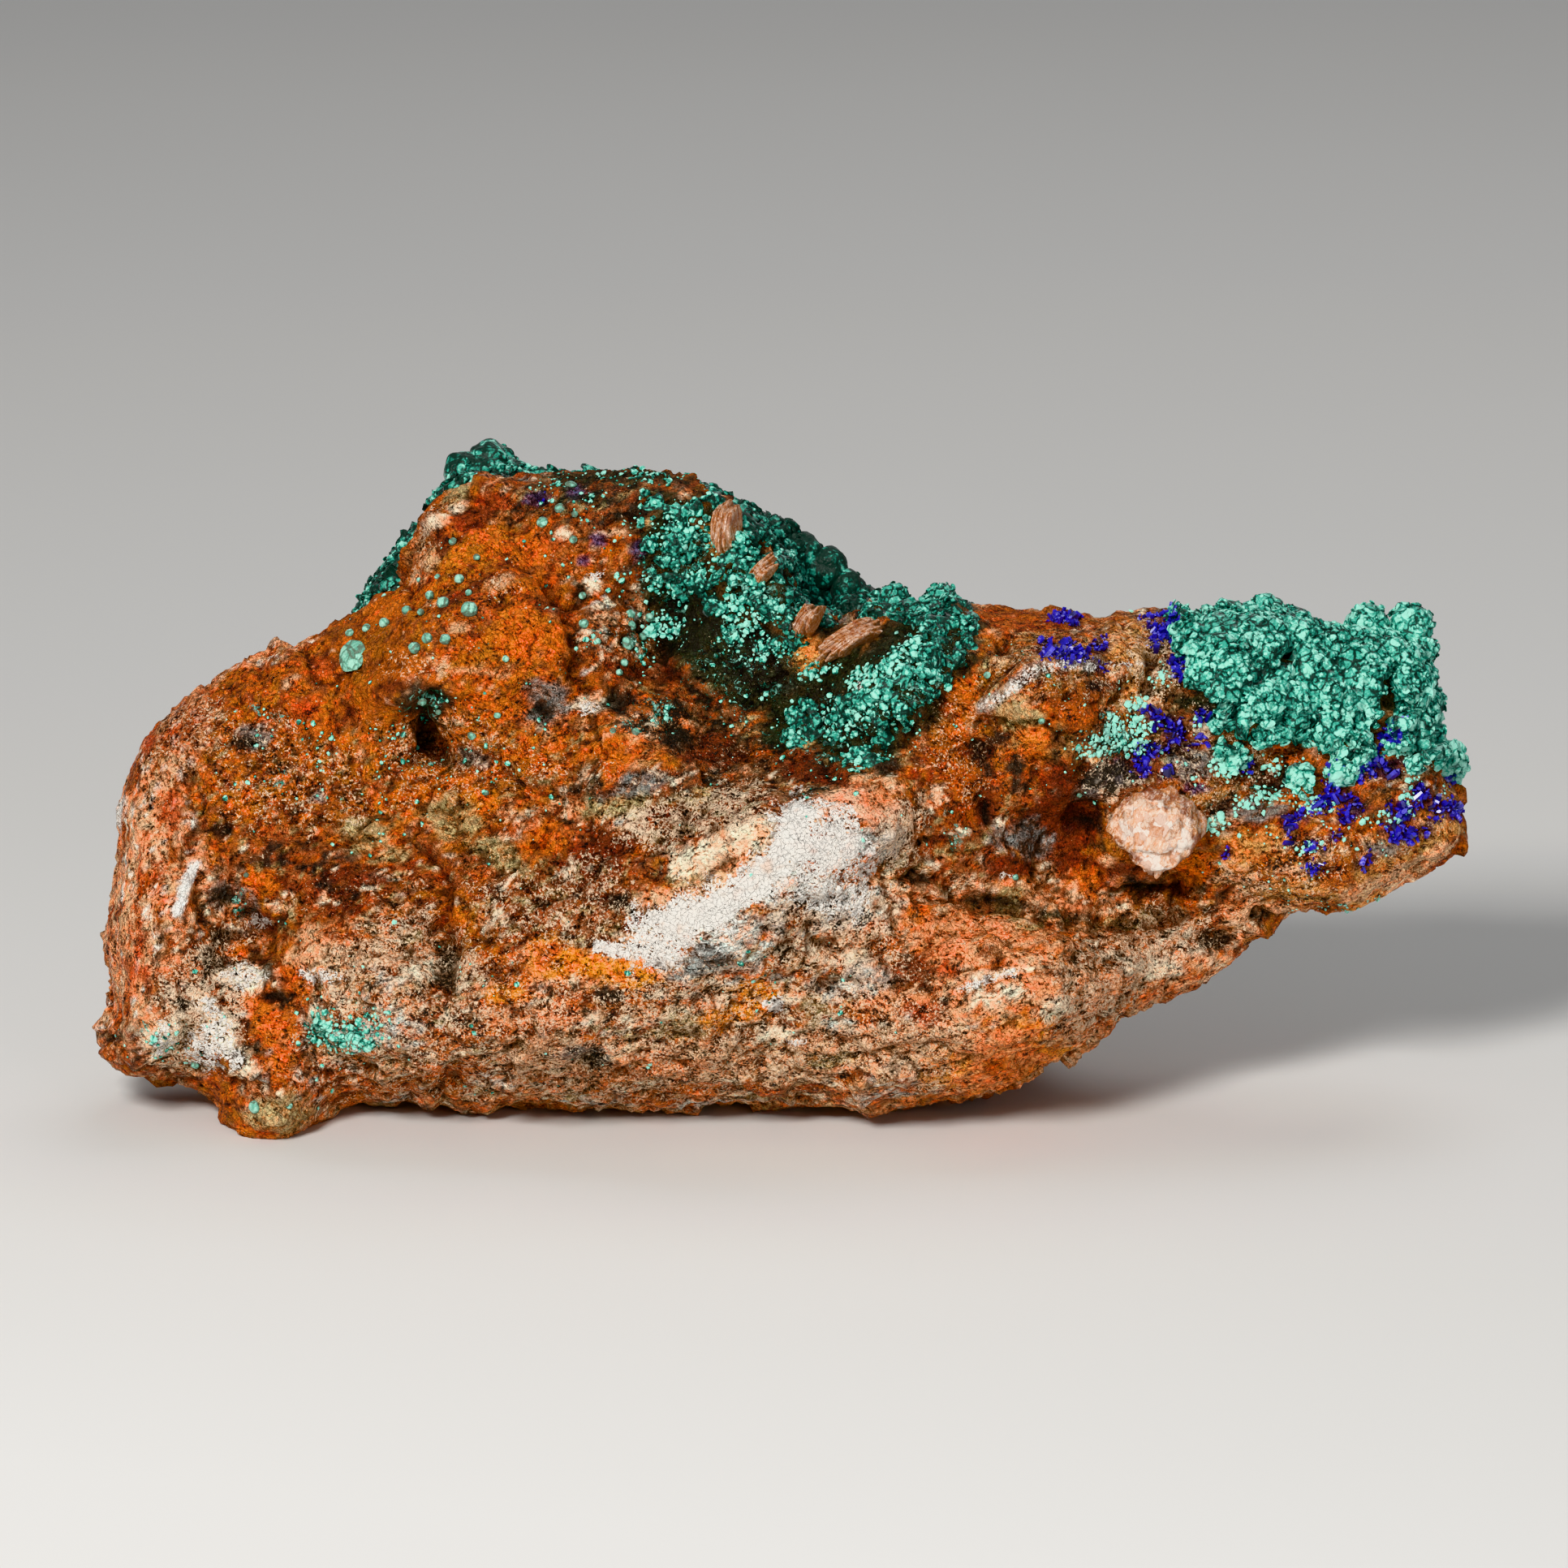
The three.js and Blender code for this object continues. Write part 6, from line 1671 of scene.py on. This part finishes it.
def barite_material(name, colour, turn, darkness, broken=0.0):
    """Pale barite with its cleavage lines running one way, broken into flats by this share."""
    paint = Paint(name)
    lines = paint.noise(0.26, 4, 0.75, paint.stretched(turn, (0.16, 1, 1)))
    broad = paint.noise(1.3, 3, 0.6)
    fine = paint.noise(0.18, 3, 0.7)
    curls = paint.noise(0.36, 3, 0.7, curl=2.0)
    stain = paint.attribute("stain")
    flat, shine, shade, seams = paint.flats(1.5, paint.bent(0.7, 1.2), (0.0, 0.06))
    tan = paint.mix(broad.between(0.42, 0.58), (0.66, 0.30, 0.11), (0.34, 0.10, 0.022))
    colour = paint.mix((stain + (curls - 0.5) * 1.2 * stain).between(0.3, 0.7) * 0.92, colour, tan)
    pale = paint.mix(0.65 - darkness, colour, (0.97, 0.84, 0.72))
    deep = paint.stained(colour, (0.60, 0.34, 0.20))
    made = paint.mix(lines.between(0.47, 0.56), colour, pale)
    made = paint.mix((1 - lines.between(0.36, 0.46)) * (0.6 + darkness), made, deep)
    made = paint.mix(broad.between(0.50, 0.66) * 0.65, made, deep)
    made = paint.mix(curls.between(0.54, 0.64) * (0.7 - stain * 0.35 - darkness), made, (0.97, 0.88, 0.80))
    made = paint.mix((1 - curls.between(0.36, 0.46)) * 0.75, made, deep)
    made = paint.scaled(made, 1 + (flat - 0.42) * 0.55 * broken)
    made = paint.mix(shine.between(0.50, 0.56) * (0.85 - stain) * broken, made, (1.0, 0.90, 0.80))
    made = paint.mix(shade.between(0.74, 0.80) * 0.45 * broken, made, deep)
    made = paint.mix(seams * 0.40 * broken, made, deep)
    height = lines * 1.0 + fine * 0.35 + broad * 0.3 + curls * 0.6 + flat * 0.9 * broken
    return paint.finish({
        "Base Color": made,
        "Roughness": 0.42 - fine * 0.16,
        "Normal": paint.bump(height, 0.8, 0.25),
        "IOR": 1.63,
        "Coat Weight": 0.12,
    })


def nodule_flats():
    """The way that each of the nodule's flats faces, as a unit vector on the face, and how far out it lies."""
    for corner, after in zip(NODULE_EDGE, NODULE_EDGE[1:] + NODULE_EDGE[:1]):
        side = np.array([after[1] - corner[1], corner[0] - after[0], 0.15])
        side *= math.copysign(1, side[:2] @ corner) / np.linalg.norm(side)
        yield side, side[:2] @ corner
    for direction, reach in NODULE_FLATS:
        yield np.array(direction) / np.linalg.norm(direction), reach


class SPECIMEN_OT_nodule(bpy.types.Operator):
    """Breaks the pale barite nodule out of its CAD lump"""

    bl_idname = "specimen.nodule"
    bl_label = "Barite nodule"

    def execute(self, context):
        settings = context.scene.specimen_barite
        even = remeshed(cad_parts["barite_nodule"], "nodule", NODULE_SQUARE)
        skin = Skin(even)
        low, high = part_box("barite_nodule")
        centre = to_face((np.array(low) + np.array(high)) / 2 / MM)
        placed = to_face(skin.smoothed(skin.points, NODULE_MELT)) - centre
        for side, reach in nodule_flats():
            over = placed @ side - reach - 0.4 * wavy(placed, 1.1, 84)
            placed -= np.where(over > 0, over * 0.94, 0)[:, None] * side
        streak = rough(placed / (0.34, 3.2, 1.1), 1.0, 3, 81, 0.7)
        _, tilt, _ = cells(placed * (1, 0.6, 1), 1.3, 82)
        skin.points = from_face(placed + centre)
        skin.measure()
        skin.points += skin.normals * (0.10 * streak + 0.16 * tilt + 0.06 * rough(placed, 0.6, 2, 83))[:, None]
        mesh = mesh_of("nodule", skin.points, skin.quads)
        bright = inside_by(skin.across, skin.up, NODULE_BRIGHT) + 0.45 * rough(placed, 0.9, 3, 85)
        give_numbers(mesh, "stain", 1 - ease(bright, -0.25, 0.25))
        made = new_object("nodule", mesh, barite_material("peach_barite", settings.nodule, 62, 0.1, 1.0))
        bpy.data.meshes.remove(even)
        finish_piece(made, "pale_barite", "barite_nodule")
        return {"FINISHED"}


def bladed(length, width, height, plates, seed):
    """A stack of thin tapered plates, lying along X: points, and the faces of a closed shell for each plate."""
    chance = np.random.default_rng(seed)
    points, faces = [], []
    count = len(PLATE_RIM)
    for plate in range(plates):
        share = (plate + 0.5) / plates
        half = length / 2 * (1 - 0.30 * abs(share - 0.45) * 2) * chance.uniform(0.82, 1.04)
        wide = width / 2 * chance.uniform(0.75, 1.0)
        thick = height / plates * 1.25
        slide, turn = chance.uniform(-0.35, 0.35), math.radians(chance.uniform(-6, 6))
        x, y = (np.array(PLATE_RIM) * chance.uniform(0.86, 1.1, (count, 2)) * (half, wide)).T
        ring = np.stack(turned(x + slide, y, -turn), 1)
        start = sum(map(len, points))
        for scale, level in PLATE_LAYERS:
            rise = (share - 0.5) * height + level * thick
            points.append(np.column_stack([ring * scale, np.full(count, rise)]))
        rims = start + np.arange(len(PLATE_LAYERS) * count).reshape(-1, count)
        for lower, upper in zip(rims, rims[1:]):
            faces += np.stack([lower, np.roll(lower, -1), np.roll(upper, -1), upper], 1).tolist()
        faces += [rims[0, ::-1].tolist(), rims[-1].tolist()]
    return np.concatenate(points), faces


class SPECIMEN_OT_blades(bpy.types.Operator):
    """Stacks the tan barite blades"""

    bl_idname = "specimen.blades"
    bl_label = "Barite blades"

    def execute(self, context):
        settings = context.scene.specimen_barite
        skin = stone_skin()
        for number, (name, node, across, up, length, width, height, turn, lean) in enumerate(BLADES):
            points, faces = bladed(length, width, height, settings.plates, 90 + number)
            foot, direction = skin.place_on_face(across, up)
            spin = Euler([math.radians(angle) for angle in (BLADE_PITCH, lean, turn)], "XYZ")
            whole = points @ np.array(spin.to_matrix()).T @ FACE_AXES + foot + direction * 0.7
            mesh = bpy.data.meshes.new(name)
            mesh.from_pydata((whole * MM).tolist(), [], faces)
            mesh.update()
            work = bmesh.new()
            work.from_mesh(mesh)
            bmesh.ops.recalc_face_normals(work, faces=work.faces)
            work.to_mesh(mesh)
            work.free()
            made = new_object(name, mesh, barite_material(name + "_barite", settings.blade, -turn, 0.34))
            bevel = made.modifiers.new("worn edges", "BEVEL")
            bevel.width, bevel.segments = BLADE_WEAR, 2
            made.data = evaluated_mesh(made)
            made.modifiers.clear()
            finish_piece(made, "pale_barite", node)
        return {"FINISHED"}


# -------- the stage
FLOOR_HALF = 2.5
SENSOR_WIDTH = 36.0
SKY_COLOUR, SKY_STRENGTH = (0.95, 0.97, 1.0, 1), 0.2
LIGHTS = [  # (name, setting of its power, share of that, size, place, colour)
    ("key", "key_power", 1.0, 0.13, (-0.17, -0.42, 0.33), (1.0, 0.985, 0.96)),
    ("fill", "fill_power", 1.5, 0.35, (0.30, -0.44, 0.08), (0.98, 0.99, 1.0)),
    ("top", "fill_power", 1.1, 0.30, (0.10, 0.22, 0.46), (1, 1, 1)),
]


def aimed(name, data, place):
    """A light or camera at a place, turned to the middle of the specimen's face."""
    made = new_object(name, data)
    made.location = place
    made.rotation_euler = (Vector(FACE_ORIGIN * MM) - made.location).to_track_quat("-Z", "Y").to_euler()
    return made


class SPECIMEN_OT_stage(bpy.types.Operator):
    """Sets up the floor, the lights and the camera"""

    bl_idname = "specimen.stage"
    bl_label = "Stage"

    def execute(self, context):
        settings, scene = context.scene.specimen_stage, context.scene
        mesh = bpy.data.meshes.new("floor")
        corners = [(x * FLOOR_HALF, y * FLOOR_HALF, 0) for x, y in ((-1, -1), (1, -1), (1, 1), (-1, 1))]
        mesh.from_pydata(corners, [], [(0, 1, 2, 3)])
        paint = Paint("floor")
        colour = paint.scaled(tuple(settings.floor), 0.985 + paint.noise(90, 3, 0.5) * 0.03)
        floor = new_object("floor", mesh, paint.finish({"Base Color": colour, "Roughness": 0.7}))

        for name, setting, share, size, place, tint in LIGHTS:
            lamp = bpy.data.lights.new(name, "AREA")
            lamp.energy, lamp.size, lamp.color = getattr(settings, setting) * share, size, tint
            aimed(name, lamp, place)
        world = bpy.data.worlds.new("studio")
        world.use_nodes = True
        sky = world.node_tree.nodes["Background"]
        sky.inputs["Color"].default_value = SKY_COLOUR
        sky.inputs["Strength"].default_value = SKY_STRENGTH
        scene.world = world
        scene.view_settings.view_transform = "Khronos PBR Neutral"

        camera = bpy.data.cameras.new("camera")
        camera.lens, camera.sensor_width = settings.lens, SENSOR_WIDTH
        camera.clip_start, camera.clip_end = 0.05, 20
        away = settings.view_width * settings.lens / SENSOR_WIDTH
        scene.camera = aimed("camera", camera, FACE_ORIGIN * MM + OUT * away)
        return {"FINISHED"}


# -------- add-on
OPERATORS = (
    SPECIMEN_OT_stage,
    SPECIMEN_OT_stone,
    SPECIMEN_OT_crusts,
    SPECIMEN_OT_balls,
    SPECIMEN_OT_loose_malachite,
    SPECIMEN_OT_azurite,
    SPECIMEN_OT_nodule,
    SPECIMEN_OT_blades,
)


class SPECIMEN_PT_panel(bpy.types.Panel):
    """Lists the specimen's pieces and their settings"""

    bl_idname = "SPECIMEN_PT_panel"
    bl_label = "Malachite on Barite"
    bl_space_type = "VIEW_3D"
    bl_region_type = "UI"
    bl_category = "Specimen"

    def draw(self, context):
        for operator in OPERATORS:
            self.layout.operator(operator.bl_idname)
        for name in SETTINGS:
            box = self.layout.box()
            group = getattr(context.scene, name)
            for setting in group.__annotations__:
                box.prop(group, setting)


CLASSES = (*SETTINGS.values(), *OPERATORS, SPECIMEN_PT_panel)


def register():
    for one in CLASSES:
        bpy.utils.register_class(one)
    for name, group in SETTINGS.items():
        setattr(bpy.types.Scene, name, PointerProperty(type=group))


def unregister():
    for name in SETTINGS:
        delattr(bpy.types.Scene, name)
    for one in reversed(CLASSES):
        bpy.utils.unregister_class(one)


def main():
    register()
    for operator in OPERATORS:
        family, action = operator.bl_idname.split(".")
        getattr(getattr(bpy.ops, family), action)()


if __name__ == "__main__":
    main()
